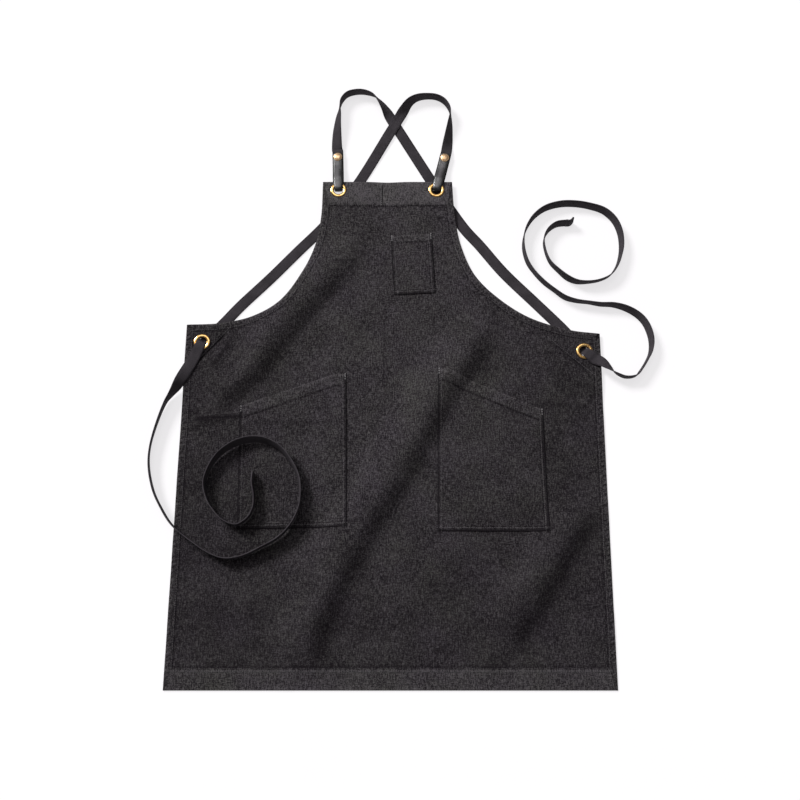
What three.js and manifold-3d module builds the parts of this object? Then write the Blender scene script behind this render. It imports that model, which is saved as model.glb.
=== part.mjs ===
// Cross back work apron of dark grey denim, lying open on its back.
// Millimetres, +Z up. The drawing frame has x = 0 on the skirt's centreline,
// y = 0 on the bottom edge of the hem and z = 0 on the surface it lies on.
// The finished group is moved so that the middle of its underside is the origin.

import * as THREE from 'three';
import { mergeVertices } from 'three/addons/utils/BufferGeometryUtils.js';
import loadManifold from 'manifold-3d';

const wasm = await loadManifold();
wasm.setup();

// Panel
const skirtWidth = 690;
const apronLength = 855;
const sideLengthLeft = 590;
const sideLengthRight = 574;
const bibWidth = 225;
const bibShift = -7;
const waistShift = 3;
const clothThickness = 1.0;
const hemTurnThickness = 1.2;
const sideHem = 12;
const bottomHem = 33;
const topHem = 45;
const clearance = 0.3;
const drapeStep = 26;

// Pockets and corner patches
const pocketThickness = 1.2;
const bibPocketWidth = 68;
const bibPocketHeight = 109;
const bibPocketDrop = 100;
const bibPocketOffset = 43;
const bibPocketTurn = 3.2;
const hipPocketWidth = 171;
const hipPocketInnerHeight = 260;
const hipPocketOuterHeight = 192;
const hipPocketFlatTop = 17;
const hipPocketSpacing = 0.2217 * skirtWidth;
const hipPocketShift = 3.5;
const hipPocketRise = 249;
const hipPocketTurnLeft = 1.1;
const hipPocketTurnRight = 0.7;
const patchThickness = 1.0;
const patchAcross = 80;
const patchDown = 92;

// Eyelets, with the washer that each one is set over
const eyeletDiameter = 27.5;
const eyeletBore = 16.6;
const eyeletWall = 0.7;
const eyeletDome = 1.2;
const eyeletLip = 2.6;
const washerThickness = 0.8;
const washerDiameter = 26;
const bibEyeletInset = 27.3;
const bibEyeletDrop = 16;
const cornerEyeletInset = 27;
const cornerEyeletDrop = 31;

// Straps of flat webbing, each one from a tab over the shoulder to its tie
const strapWidth = 19;
const strapThickness = 1.5;
const strapWidthInEyelet = 13.4;
const crossingRise = 116;
const crossingShift = 13;
const shoulderRiseLeft = 128;
const shoulderRiseRight = 121;
const tieLengthLeft = 1038;
const tieLengthRight = 1020;
const strapEndInTab = 8;

// Leather tabs and their snaps
const tabWidth = 19;
const tabWidthInEyelet = 14;
const tabThickness = 1.8;
const tabLength = 65;
const tabEnd = 8;
const tabTurnLeft = 2;
const tabTurnRight = -13.6;
const snapDiameter = 15.6;
const snapDome = 2.4;
const snapPostDiameter = 4;
const studDiameter = 11;
const studThickness = 1.2;

// Heights of the layers, from the surface up
const layersUnderTab = tabThickness + clearance;
const layersUnderStrap = strapThickness + clearance;
const setDepth = eyeletWall + clearance + washerThickness + clearance;
const clothTopOnFloor = hemTurnThickness + clothThickness;
const clothTopOverStrap = clothTopOnFloor + layersUnderStrap;
const clothTopAtBibEyelet = layersUnderStrap + layersUnderTab + setDepth + clothTopOnFloor;
const patchStack = patchThickness + clearance + clothThickness;
const clothTopAtCornerEyelet = Math.max(
  layersUnderStrap + setDepth + patchStack,
  clothTopOverStrap
);

// Armhole edges from the bib's top corner to the waist corner: across is a share
// of the way out from bib to skirt, up a share of the way from waist to bib top.
const armholeLeft = [
  { across: 0, up: 1 },
  { across: 0.01, up: 0.74 },
  { across: 0.05, up: 0.555 },
  { across: 0.15, up: 0.345 },
  { across: 0.31, up: 0.15 },
  { across: 0.53, up: 0.054 },
  { across: 0.75, up: 0.01 },
  { across: 1, up: 0 },
];
const armholeRight = [
  { across: 0, up: 1 },
  { across: 0.02, up: 0.74 },
  { across: 0.07, up: 0.54 },
  { across: 0.157, up: 0.371 },
  { across: 0.32, up: 0.222 },
  { across: 0.523, up: 0.104 },
  { across: 0.79, up: 0.024 },
  { across: 1, up: 0 },
];
const armholeSteps = 14;

// Soft folds in the cloth. A crest runs through its points, whose x is a share of
// the skirt's width from the centreline and y a share of the apron's length.
// Height and reach are shares of the skirt's width. The side towards the bib's left
// is the gentle one. Each end dies away over a share of the crest's length, and the
// far end keeps a little more of its height.
const foldGentleSide = 1.5;
const foldEndShare = 1 / 3;
const foldTailHold = 0.3;
const folds = [
  {
    height: 0.0155,
    reach: 0.056,
    crest: [
      { x: -0.01, y: 0.955 },
      { x: -0.085, y: 0.925 },
      { x: -0.172, y: 0.806 },
      { x: -0.26, y: 0.72 },
      { x: -0.355, y: 0.612 },
      { x: -0.445, y: 0.56 },
    ],
  },
  {
    height: 0.0155,
    reach: 0.06,
    crest: [
      { x: 0.235, y: 0.705 },
      { x: 0.172, y: 0.625 },
      { x: 0.125, y: 0.582 },
      { x: 0.066, y: 0.487 },
      { x: -0.006, y: 0.393 },
      { x: -0.085, y: 0.3 },
      { x: -0.163, y: 0.2 },
      { x: -0.226, y: 0.113 },
    ],
  },
  {
    height: 0.0105,
    reach: 0.05,
    crest: [
      { x: 0.44, y: 0.33 },
      { x: 0.355, y: 0.258 },
      { x: 0.285, y: 0.17 },
      { x: 0.21, y: 0.1 },
    ],
  },
];

// A strap's shoulder loop, from the snap to the crossing: across is a share of the
// way over to the crossing, up a share of the loop's rise, lean in degrees is how
// far the webbing has tipped onto its edge.
const loopLeft = [
  { across: -0.03, up: 0.135, lean: 12 },
  { across: -0.025, up: 0.42, lean: 42 },
  { across: 0, up: 0.645, lean: 64 },
  { across: 0.02, up: 0.775, lean: 88 },
  { across: 0.055, up: 0.87, lean: 95 },
  { across: 0.15, up: 0.96, lean: 98 },
  { across: 0.31, up: 1, lean: 98 },
  { across: 0.47, up: 0.995, lean: 93 },
  { across: 0.63, up: 0.945, lean: 77 },
  { across: 0.735, up: 0.86, lean: 56 },
  { across: 0.825, up: 0.755, lean: 34 },
];
const loopRight = [
  { across: -0.056, up: 0.21, lean: -20 },
  { across: -0.085, up: 0.355, lean: -42 },
  { across: -0.115, up: 0.54, lean: -64 },
  { across: -0.13, up: 0.705, lean: -88 },
  { across: -0.1, up: 0.81, lean: -95 },
  { across: 0, up: 0.92, lean: -98 },
  { across: 0.155, up: 0.985, lean: -98 },
  { across: 0.345, up: 1, lean: -98 },
  { across: 0.55, up: 0.975, lean: -104 },
  { across: 0.7, up: 0.905, lean: -122 },
  { across: 0.815, up: 0.79, lean: -146 },
];

// A strap behind the bib, from the crossing to its corner eyelet: across and down
// are shares of the way to that eyelet.
const backToRight = [
  { across: 0.2, down: 0.258 },
  { across: 0.292, down: 0.373 },
  { across: 0.383, down: 0.477 },
  { across: 0.463, down: 0.548 },
  { across: 0.583, down: 0.666 },
  { across: 0.744, down: 0.8 },
  { across: 0.877, down: 0.911 },
];
const backToLeft = [
  { across: 0.187, down: 0.265 },
  { across: 0.322, down: 0.425 },
  { across: 0.411, down: 0.508 },
  { across: 0.505, down: 0.586 },
  { across: 0.658, down: 0.717 },
  { across: 0.809, down: 0.839 },
  { across: 0.899, down: 0.92 },
];

// A tie on from its eyelet: x and y are shares of its length, lean as above.
const tieLeft = [
  { x: -0.009, y: -0.022, lean: 0 },
  { x: -0.0165, y: -0.038, lean: 4 },
  { x: -0.026, y: -0.057, lean: 18 },
  { x: -0.037, y: -0.079, lean: 56 },
  { x: -0.05, y: -0.1, lean: 84 },
  { x: -0.061, y: -0.13, lean: 87 },
  { x: -0.0705, y: -0.173, lean: 86 },
  { x: -0.0705, y: -0.204, lean: 94 },
  { x: -0.0615, y: -0.241, lean: 98 },
  { x: -0.048, y: -0.268, lean: 95 },
  { x: -0.028, y: -0.297, lean: 90 },
  { x: 0.003, y: -0.3215, lean: 88 },
  { x: 0.032, y: -0.34, lean: 86 },
  { x: 0.0545, y: -0.347, lean: 86 },
  { x: 0.0795, y: -0.3435, lean: 87 },
  { x: 0.107, y: -0.331, lean: 88 },
  { x: 0.1355, y: -0.314, lean: 88 },
  { x: 0.153, y: -0.293, lean: 86 },
  { x: 0.163, y: -0.268, lean: 84 },
  { x: 0.1645, y: -0.245, lean: 80 },
  { x: 0.161, y: -0.2215, lean: 78 },
  { x: 0.147, y: -0.1945, lean: 78 },
  { x: 0.1295, y: -0.1755, lean: 74 },
  { x: 0.1075, y: -0.1645, lean: 70 },
  { x: 0.083, y: -0.163, lean: 69 },
  { x: 0.061, y: -0.169, lean: 74 },
  { x: 0.038, y: -0.185, lean: 80 },
  { x: 0.0235, y: -0.207, lean: 84 },
  { x: 0.017, y: -0.231, lean: 87 },
  { x: 0.021, y: -0.2525, lean: 89 },
  { x: 0.031, y: -0.271, lean: 89 },
  { x: 0.049, y: -0.2895, lean: 88 },
  { x: 0.069, y: -0.2965, lean: 88 },
  { x: 0.0855, y: -0.2865, lean: 87 },
  { x: 0.0935, y: -0.271, lean: 88 },
  { x: 0.0945, y: -0.2525, lean: 90 },
  { x: 0.091, y: -0.232, lean: 93 },
  { x: 0.0915, y: -0.215, lean: 92 },
];
const tieRight = [
  { x: 0.0155, y: -0.0135, lean: 0 },
  { x: 0.0255, y: -0.019, lean: 8 },
  { x: 0.0365, y: -0.0305, lean: 50 },
  { x: 0.047, y: -0.0395, lean: 78 },
  { x: 0.064, y: -0.0455, lean: 84 },
  { x: 0.0805, y: -0.043, lean: 84 },
  { x: 0.09, y: -0.032, lean: 84 },
  { x: 0.099, y: -0.018, lean: 86 },
  { x: 0.1065, y: -0.003, lean: 82 },
  { x: 0.1095, y: 0.016, lean: 75 },
  { x: 0.1065, y: 0.0355, lean: 74 },
  { x: 0.099, y: 0.052, lean: 76 },
  { x: 0.0875, y: 0.064, lean: 78 },
  { x: 0.07, y: 0.074, lean: 81 },
  { x: 0.0505, y: 0.0795, lean: 88 },
  { x: 0.0295, y: 0.0805, lean: 92 },
  { x: 0.0115, y: 0.0835, lean: 98 },
  { x: -0.01, y: 0.0865, lean: 94 },
  { x: -0.028, y: 0.0925, lean: 88 },
  { x: -0.0445, y: 0.105, lean: 94 },
  { x: -0.0615, y: 0.1195, lean: 90 },
  { x: -0.0765, y: 0.137, lean: 93 },
  { x: -0.088, y: 0.157, lean: 87 },
  { x: -0.0935, y: 0.1835, lean: 87 },
  { x: -0.0915, y: 0.2055, lean: 91 },
  { x: -0.085, y: 0.223, lean: 94 },
  { x: -0.0735, y: 0.24, lean: 97 },
  { x: -0.0545, y: 0.255, lean: 99 },
  { x: -0.0285, y: 0.263, lean: 99 },
  { x: -0.003, y: 0.2635, lean: 98 },
  { x: 0.022, y: 0.259, lean: 98 },
  { x: 0.0455, y: 0.25, lean: 101 },
  { x: 0.062, y: 0.2325, lean: 104 },
  { x: 0.07, y: 0.21, lean: 105 },
  { x: 0.071, y: 0.1855, lean: 104 },
  { x: 0.0675, y: 0.167, lean: 98 },
  { x: 0.0605, y: 0.148, lean: 97 },
  { x: 0.0485, y: 0.132, lean: 99 },
  { x: 0.0315, y: 0.1235, lean: 100 },
  { x: 0.013, y: 0.12, lean: 100 },
  { x: -0.0065, y: 0.1205, lean: 90 },
  { x: -0.022, y: 0.1275, lean: 83 },
  { x: -0.0365, y: 0.1405, lean: 92 },
  { x: -0.05, y: 0.156, lean: 95 },
  { x: -0.0575, y: 0.178, lean: 95 },
  { x: -0.0585, y: 0.198, lean: 92 },
  { x: -0.051, y: 0.214, lean: 95 },
  { x: -0.037, y: 0.225, lean: 98 },
  { x: -0.0235, y: 0.2275, lean: 98 },
  { x: -0.0135, y: 0.228, lean: 95 },
  { x: -0.008, y: 0.2335, lean: 93 },
];

// Places worked out from the sizes
const bibLeftX = bibShift - bibWidth / 2;
const bibRightX = bibShift + bibWidth / 2;
const cornerLeft = new THREE.Vector2(waistShift - skirtWidth / 2, sideLengthLeft);
const cornerRight = new THREE.Vector2(waistShift + skirtWidth / 2, sideLengthRight);
const crossing = new THREE.Vector2(bibShift + crossingShift, apronLength + crossingRise);
const eyelets = {
  bib_left: {
    x: bibLeftX + bibEyeletInset,
    y: apronLength - bibEyeletDrop,
    clothTop: clothTopAtBibEyelet,
    clothStack: clothTopOnFloor,
  },
  bib_right: {
    x: bibRightX - bibEyeletInset,
    y: apronLength - bibEyeletDrop,
    clothTop: clothTopAtBibEyelet,
    clothStack: clothTopOnFloor,
  },
  corner_left: {
    x: cornerLeft.x + cornerEyeletInset,
    y: cornerLeft.y - cornerEyeletDrop,
    clothTop: clothTopAtCornerEyelet,
    clothStack: patchStack,
  },
  corner_right: {
    x: cornerRight.x - cornerEyeletInset,
    y: cornerRight.y - cornerEyeletDrop,
    clothTop: clothTopAtCornerEyelet,
    clothStack: patchStack,
  },
};

function smoothStep(value) {
  const t = Math.min(1, Math.max(0, value));
  return t * t * (3 - 2 * t);
}

function distanceToSegment(x, y, a, b) {
  const dx = b.x - a.x;
  const dy = b.y - a.y;
  const along = ((x - a.x) * dx + (y - a.y) * dy) / (dx * dx + dy * dy);
  const t = Math.min(1, Math.max(0, along));
  return Math.hypot(x - a.x - t * dx, y - a.y - t * dy);
}

// A fold's crest is full in its middle and dies away to nothing at both ends.
function foldHeight(fold, x, y) {
  const points = fold.crest.map((p) => ({ x: p.x * skirtWidth, y: p.y * apronLength }));
  let nearest = Infinity;
  let place = 0;
  let reach = 0;
  for (let i = 0; i < points.length - 1; i += 1) {
    const a = points[i];
    const b = points[i + 1];
    const d = distanceToSegment(x, y, a, b);
    if (d < nearest) {
      nearest = d;
      place = (i + 0.5) / (points.length - 1);
      const gentle = (b.x - a.x) * (y - a.y) < (b.y - a.y) * (x - a.x);
      reach = fold.reach * skirtWidth * (gentle ? foldGentleSide : 1);
    }
  }
  if (nearest >= reach) return 0;
  const profile = (1 - (nearest / reach) ** 2) ** 2;
  const rising = smoothStep(place / foldEndShare);
  const falling = smoothStep((1 - place) / foldEndShare + foldTailHold);
  return fold.height * skirtWidth * profile * rising * falling;
}

// Height of the panel's upper face. Behind the bib and the corners it lies on the
// straps, and round each eyelet it is level and lifted by what is under it.
const strapZoneStart = 0.55;
const strapZoneEnd = 0.61;
const levelRadius = 50;
const levelFade = 105;

function clothTop(x, y) {
  const zone = (y / apronLength - strapZoneStart) / (strapZoneEnd - strapZoneStart);
  let level = clothTopOnFloor + (clothTopOverStrap - clothTopOnFloor) * smoothStep(zone);
  let loose = 1;
  for (const eyelet of Object.values(eyelets)) {
    const d = Math.hypot(x - eyelet.x, y - eyelet.y);
    const hold = 1 - smoothStep((d - levelRadius) / (levelFade - levelRadius));
    level = Math.max(level, level + (eyelet.clothTop - level) * hold);
    loose *= 1 - hold;
  }
  const rise = Math.max(...folds.map((fold) => foldHeight(fold, x, y)));
  return level + rise * loose;
}

// Every layer of cloth is bent over one grid, so the layers stay parallel.
const sheetMargin = 20;
const sheetLeft = -skirtWidth / 2 - sheetMargin;
const sheetBottom = -sheetMargin;
const sheetWidth = skirtWidth + 2 * sheetMargin;
const sheetLength = apronLength + 2 * sheetMargin;
const sheetColumns = Math.round(sheetWidth / drapeStep);
const sheetRows = Math.round(sheetLength / drapeStep);

// The same height as the faceted cloth has, for what lies on it.
function facetTop(x, y) {
  const u = ((x - sheetLeft) / sheetWidth) * sheetColumns;
  const v = ((sheetBottom + sheetLength - y) / sheetLength) * sheetRows;
  const column = Math.min(sheetColumns - 1, Math.max(0, Math.floor(u)));
  const row = Math.min(sheetRows - 1, Math.max(0, Math.floor(v)));
  const corner = (c, r) =>
    clothTop(
      sheetLeft + (c / sheetColumns) * sheetWidth,
      sheetBottom + sheetLength - (r / sheetRows) * sheetLength
    );
  const fu = u - column;
  const fv = v - row;
  const a = corner(column, row);
  const b = corner(column, row + 1);
  const c = corner(column + 1, row + 1);
  const d = corner(column + 1, row);
  if (fu + fv <= 1) return a + (d - a) * fu + (b - a) * fv;
  return c + (b - c) * (1 - fu) + (d - c) * (1 - fv);
}

// Solids from closed meshes, and meshes from solids
function toSolid(geometry) {
  const bare = geometry.clone();
  bare.deleteAttribute('normal');
  bare.deleteAttribute('uv');
  const merged = mergeVertices(bare, 1e-4);
  return new wasm.Manifold(
    new wasm.Mesh({
      numProp: 3,
      vertProperties: new Float32Array(merged.attributes.position.array),
      triVerts: new Uint32Array(merged.index.array),
    })
  );
}

function toGeometry(solid) {
  const mesh = solid.getMesh();
  const geometry = new THREE.BufferGeometry();
  geometry.setAttribute('position', new THREE.BufferAttribute(mesh.vertProperties, 3));
  geometry.setIndex(new THREE.BufferAttribute(mesh.triVerts, 1));
  geometry.computeVertexNormals();
  return geometry;
}

// A closed sheet that follows the cloth, between two depths under its upper face
function drapedSheet(topDepth, bottomDepth) {
  const plane = new THREE.PlaneGeometry(sheetWidth, sheetLength, sheetColumns, sheetRows);
  plane.translate(sheetLeft + sheetWidth / 2, sheetBottom + sheetLength / 2, 0);
  const flat = plane.attributes.position;
  const count = flat.count;
  const positions = new Float32Array(count * 6);
  for (let i = 0; i < count; i += 1) {
    const x = flat.getX(i);
    const y = flat.getY(i);
    const top = clothTop(x, y);
    positions.set([x, y, top - topDepth], i * 3);
    positions.set([x, y, top - bottomDepth], (count + i) * 3);
  }
  const index = [];
  const faces = plane.index.array;
  for (let i = 0; i < faces.length; i += 3) {
    index.push(faces[i], faces[i + 1], faces[i + 2]);
    index.push(count + faces[i + 2], count + faces[i + 1], count + faces[i]);
  }
  const across = sheetColumns + 1;
  const rim = [];
  for (let c = 0; c < sheetColumns; c += 1) rim.push(c);
  for (let r = 0; r < sheetRows; r += 1) rim.push(r * across + sheetColumns);
  for (let c = sheetColumns; c > 0; c -= 1) rim.push(sheetRows * across + c);
  for (let r = sheetRows; r > 0; r -= 1) rim.push(r * across);
  rim.forEach((from, i) => {
    const to = rim[(i + 1) % rim.length];
    index.push(from, to, count + to);
    index.push(from, count + to, count + from);
  });
  const geometry = new THREE.BufferGeometry();
  geometry.setAttribute('position', new THREE.BufferAttribute(positions, 3));
  geometry.setIndex(index);
  return toSolid(geometry);
}

const cutHeight = 80;

function prism(points) {
  const shape = new THREE.Shape(points.map((p) => new THREE.Vector2(p.x, p.y)));
  const geometry = new THREE.ExtrudeGeometry(shape, { depth: cutHeight, bevelEnabled: false });
  geometry.translate(0, 0, -cutHeight / 2);
  return toSolid(geometry);
}

function roundCut(x, y, diameter, segments) {
  const geometry = new THREE.CylinderGeometry(diameter / 2, diameter / 2, cutHeight, segments);
  geometry.rotateX(Math.PI / 2);
  geometry.translate(x, y, 0);
  return toSolid(geometry);
}

// Moves each edge of an outline inwards by its own distance.
function insetOutline(points, distanceOf) {
  const count = points.length;
  const edges = points.map((p, i) => {
    const q = points[(i + 1) % count];
    const length = Math.hypot(q.x - p.x, q.y - p.y);
    const dx = (q.x - p.x) / length;
    const dy = (q.y - p.y) / length;
    const distance = distanceOf(p);
    return { x: p.x - dy * distance, y: p.y + dx * distance, dx, dy };
  });
  return edges.map((edge, i) => {
    const before = edges[(i + count - 1) % count];
    const turn = before.dx * edge.dy - before.dy * edge.dx;
    if (Math.abs(turn) < 1e-4) return { ...points[i], x: edge.x, y: edge.y };
    const along = ((edge.x - before.x) * edge.dy - (edge.y - before.y) * edge.dx) / turn;
    return { ...points[i], x: before.x + before.dx * along, y: before.y + before.dy * along };
  });
}

function armholePoints(rows, bibX, corner) {
  const knots = rows.map(
    (row) =>
      new THREE.Vector3(
        bibX + row.across * (corner.x - bibX),
        corner.y + row.up * (apronLength - corner.y),
        0
      )
  );
  return new THREE.CatmullRomCurve3(knots, false, 'centripetal').getSpacedPoints(armholeSteps);
}

// The panel's outline runs counterclockwise from its bottom left corner, and each
// point carries the depth of the hem on the edge that starts there.
function panelOutline() {
  const right = armholePoints(armholeRight, bibRightX, cornerRight).reverse();
  const left = armholePoints(armholeLeft, bibLeftX, cornerLeft);
  const outline = [
    { x: -skirtWidth / 2, y: 0, hem: bottomHem },
    { x: skirtWidth / 2, y: 0, hem: sideHem },
  ];
  right.forEach((p, i) => {
    outline.push({ x: p.x, y: p.y, hem: i === right.length - 1 ? topHem : sideHem });
  });
  left.forEach((p) => outline.push({ x: p.x, y: p.y, hem: sideHem }));
  return outline;
}

const outline = panelOutline();
const hemLine = insetOutline(outline, (p) => p.hem);
const insideHems = insetOutline(outline, (p) => p.hem + clearance);

// Materials
const denim = new THREE.MeshStandardMaterial({ color: 0x3a373a, roughness: 0.95, metalness: 0 });
const webbing = new THREE.MeshStandardMaterial({ color: 0x2e2c2e, roughness: 0.8, metalness: 0 });
const leather = new THREE.MeshStandardMaterial({ color: 0x4c494b, roughness: 0.45, metalness: 0 });
const brass = new THREE.MeshStandardMaterial({ color: 0xc9a15a, roughness: 0.25, metalness: 1 });
const agedBrass = new THREE.MeshStandardMaterial({ color: 0xb79a72, roughness: 0.35, metalness: 1 });

const apron = new THREE.Group();

function addPiece(name, geometry, material) {
  const mesh = new THREE.Mesh(geometry, material);
  mesh.name = name;
  apron.add(mesh);
  return mesh;
}

// Panel: one layer of cloth, with its turned hems under it and four eyelet holes
const roundSides = 16;
const cutOverrun = 1;
const barrelDiameter = eyeletBore + 2 * eyeletWall;
const holeDiameter = barrelDiameter + 2 * clearance;

function makePanel() {
  const whole = drapedSheet(0, clothTopOnFloor).intersect(prism(outline));
  const hemDepth = clothTopOnFloor + cutOverrun;
  const under = drapedSheet(clothThickness, hemDepth).intersect(prism(hemLine));
  let panel = whole.subtract(under);
  for (const eyelet of Object.values(eyelets)) {
    panel = panel.subtract(roundCut(eyelet.x, eyelet.y, holeDiameter, roundSides));
  }
  return toGeometry(panel);
}

addPiece('apron_panel', makePanel(), denim);

// Pockets: sheets on the panel, each one a flat cut turned about its lower inner corner
function turned(points, pivot, degrees) {
  const angle = THREE.MathUtils.degToRad(degrees);
  return points.map((p) =>
    new THREE.Vector2(p.x, p.y).rotateAround(new THREE.Vector2(pivot.x, pivot.y), angle)
  );
}

function makePocket(points) {
  const sheet = drapedSheet(-clearance - pocketThickness, -clearance);
  return toGeometry(sheet.intersect(prism(points)));
}

function bibPocketOutline() {
  const middle = bibShift + bibPocketOffset;
  const top = apronLength - bibPocketDrop;
  const half = bibPocketWidth / 2;
  const points = [
    { x: middle - half, y: top - bibPocketHeight },
    { x: middle + half, y: top - bibPocketHeight },
    { x: middle + half, y: top },
    { x: middle - half, y: top },
  ];
  return turned(points, { x: middle, y: top - bibPocketHeight / 2 }, bibPocketTurn);
}

function hipPocketOutline(side, degrees) {
  const inner = hipPocketShift + (side * hipPocketSpacing) / 2;
  const outer = inner + side * hipPocketWidth;
  const points = [
    { x: inner, y: hipPocketRise },
    { x: outer, y: hipPocketRise },
    { x: outer, y: hipPocketRise + hipPocketOuterHeight },
    { x: inner + side * hipPocketFlatTop, y: hipPocketRise + hipPocketInnerHeight },
    { x: inner, y: hipPocketRise + hipPocketInnerHeight },
  ];
  if (side < 0) points.reverse();
  return turned(points, { x: inner, y: hipPocketRise }, degrees);
}

const pocketOutlines = {
  bib_pocket: bibPocketOutline(),
  hip_pocket_left: hipPocketOutline(-1, hipPocketTurnLeft),
  hip_pocket_right: hipPocketOutline(1, hipPocketTurnRight),
};
for (const [name, points] of Object.entries(pocketOutlines)) {
  addPiece(name, makePocket(points), denim);
}

// Corner patches: a second layer behind each waist corner, cut off on the slant and
// tucked inside the hems
function makePatch(corner, side, eyelet) {
  const points = [
    { x: corner.x, y: corner.y },
    { x: corner.x - side * patchAcross, y: corner.y },
    { x: corner.x, y: corner.y - patchDown },
  ];
  if (side < 0) points.reverse();
  const top = clothThickness + clearance;
  return toGeometry(
    drapedSheet(top, top + patchThickness)
      .intersect(prism(points))
      .intersect(prism(insideHems))
      .subtract(roundCut(eyelet.x, eyelet.y, holeDiameter, roundSides))
  );
}

addPiece('corner_patch_left', makePatch(cornerLeft, -1, eyelets.corner_left), denim);
addPiece('corner_patch_right', makePatch(cornerRight, 1, eyelets.corner_right), denim);

// Turned pieces: the profile's points are radius and height
function turnedPiece(profile, segments) {
  const points = profile.map(([radius, height]) => new THREE.Vector2(radius, height));
  points.push(points[0].clone());
  const geometry = new THREE.LatheGeometry(points, segments);
  geometry.rotateX(Math.PI / 2);
  return geometry;
}

// Eyelet: a domed flange on the cloth, a barrel through it, and a lip rolled out
// under the washer. Out is a share of the way from the bore to the rim, and rise a
// share of the dome's height.
const eyeletDomeShape = [
  { out: 1, rise: 0 },
  { out: 0.75, rise: 0.8 },
  { out: 0.5, rise: 1 },
  { out: 0.15, rise: 0.8 },
  { out: 0, rise: 0.4 },
];

function makeEyelet(eyelet) {
  const bore = eyeletBore / 2;
  const barrel = bore + eyeletWall;
  const rim = eyeletDiameter / 2;
  const low = -eyelet.clothStack - setDepth;
  const profile = [
    [bore, low],
    [barrel + eyeletLip, low],
    [barrel + eyeletLip, low + eyeletWall],
    [barrel, low + eyeletWall],
    [barrel, clearance],
  ];
  for (const point of eyeletDomeShape) {
    profile.push([bore + point.out * (rim - bore), clearance + point.rise * eyeletDome]);
  }
  return turnedPiece(profile, roundSides);
}

function makeWasher(eyelet) {
  const inner = eyeletBore / 2 + eyeletWall + clearance;
  const outer = washerDiameter / 2;
  const top = -eyelet.clothStack - clearance;
  const profile = [
    [inner, top - washerThickness],
    [outer, top - washerThickness],
    [outer, top],
    [inner, top],
  ];
  return turnedPiece(profile, roundSides);
}

for (const [place, eyelet] of Object.entries(eyelets)) {
  const front = addPiece(`eyelet_${place}`, makeEyelet(eyelet), brass);
  front.position.set(eyelet.x, eyelet.y, eyelet.clothTop);
  const back = addPiece(`washer_${place}`, makeWasher(eyelet), brass);
  back.position.set(eyelet.x, eyelet.y, eyelet.clothTop);
}

// Height of the heap of layers at a snap, from the surface up: stud, back leaf of
// the tab, strap, front leaf, cap
const backLeaf = studThickness + clearance;
const strapInTab = backLeaf + tabThickness + clearance;
const frontLeaf = strapInTab + strapThickness + clearance;
const capSeat = frontLeaf + tabThickness + clearance;

function tabDirection(degrees) {
  return new THREE.Vector2(0, 1).rotateAround(new THREE.Vector2(), THREE.MathUtils.degToRad(degrees));
}

function alongTab(eyelet, degrees, distance) {
  const direction = tabDirection(degrees);
  return new THREE.Vector2(eyelet.x, eyelet.y).addScaledVector(direction, distance);
}

const snaps = {
  left: alongTab(eyelets.bib_left, tabTurnLeft, tabLength),
  right: alongTab(eyelets.bib_right, tabTurnRight, tabLength),
};

// How far a band's middle is above its lowest edge or face
function edgeReach(width, thickness, lean) {
  const tilt = THREE.MathUtils.degToRad(lean);
  return (width / 2) * Math.abs(Math.sin(tilt)) + (thickness / 2) * Math.abs(Math.cos(tilt));
}

// A flat band: a long box bent along its stations. Each station has its middle
// (x, y), its foot, which is the height of its lowest edge, its width, and its lean
// in degrees. A band that doubles back keeps one level direction across it, and
// else that follows its way.
function bendBand(stations, thickness, stepsPerStation, fixedSide) {
  const steps = (stations.length - 1) * stepsPerStation;
  const path = new THREE.CatmullRomCurve3(
    stations.map((s) => new THREE.Vector3(s.x, s.y, s.foot)),
    false,
    'centripetal'
  );
  const middles = [];
  const rings = [];
  for (let i = 0; i <= steps; i += 1) {
    const first = Math.min(stations.length - 2, Math.floor(i / stepsPerStation));
    const part = i / stepsPerStation - first;
    const width = THREE.MathUtils.lerp(stations[first].width, stations[first + 1].width, part);
    const lean = THREE.MathUtils.lerp(stations[first].lean, stations[first + 1].lean, part);
    const middle = path.getPoint(i / steps);
    middle.z = Math.max(0, middle.z) + edgeReach(width, thickness, lean);
    middles.push(middle);
    rings.push({ width, tilt: THREE.MathUtils.degToRad(lean) });
  }
  rings.forEach((ring, i) => {
    const before = middles[Math.max(0, i - 1)];
    const after = middles[Math.min(steps, i + 1)];
    const tangent = after.clone().sub(before).normalize();
    const side = fixedSide ?? new THREE.Vector3(tangent.y, -tangent.x, 0).normalize();
    const up = new THREE.Vector3().crossVectors(side, tangent).normalize();
    ring.across = side.clone().multiplyScalar(Math.cos(ring.tilt));
    ring.across.addScaledVector(up, Math.sin(ring.tilt));
    ring.through = up.clone().multiplyScalar(Math.cos(ring.tilt));
    ring.through.addScaledVector(side, -Math.sin(ring.tilt));
  });
  const geometry = new THREE.BoxGeometry(steps, 1, 1, steps, 1, 1);
  const position = geometry.attributes.position;
  for (let i = 0; i < position.count; i += 1) {
    const station = Math.round(position.getX(i) + steps / 2);
    const ring = rings[station];
    const point = middles[station]
      .clone()
      .addScaledVector(ring.across, -position.getY(i) * ring.width)
      .addScaledVector(ring.through, position.getZ(i) * thickness);
    position.setXYZ(i, point.x, point.y, point.z);
  }
  return geometry;
}

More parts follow.
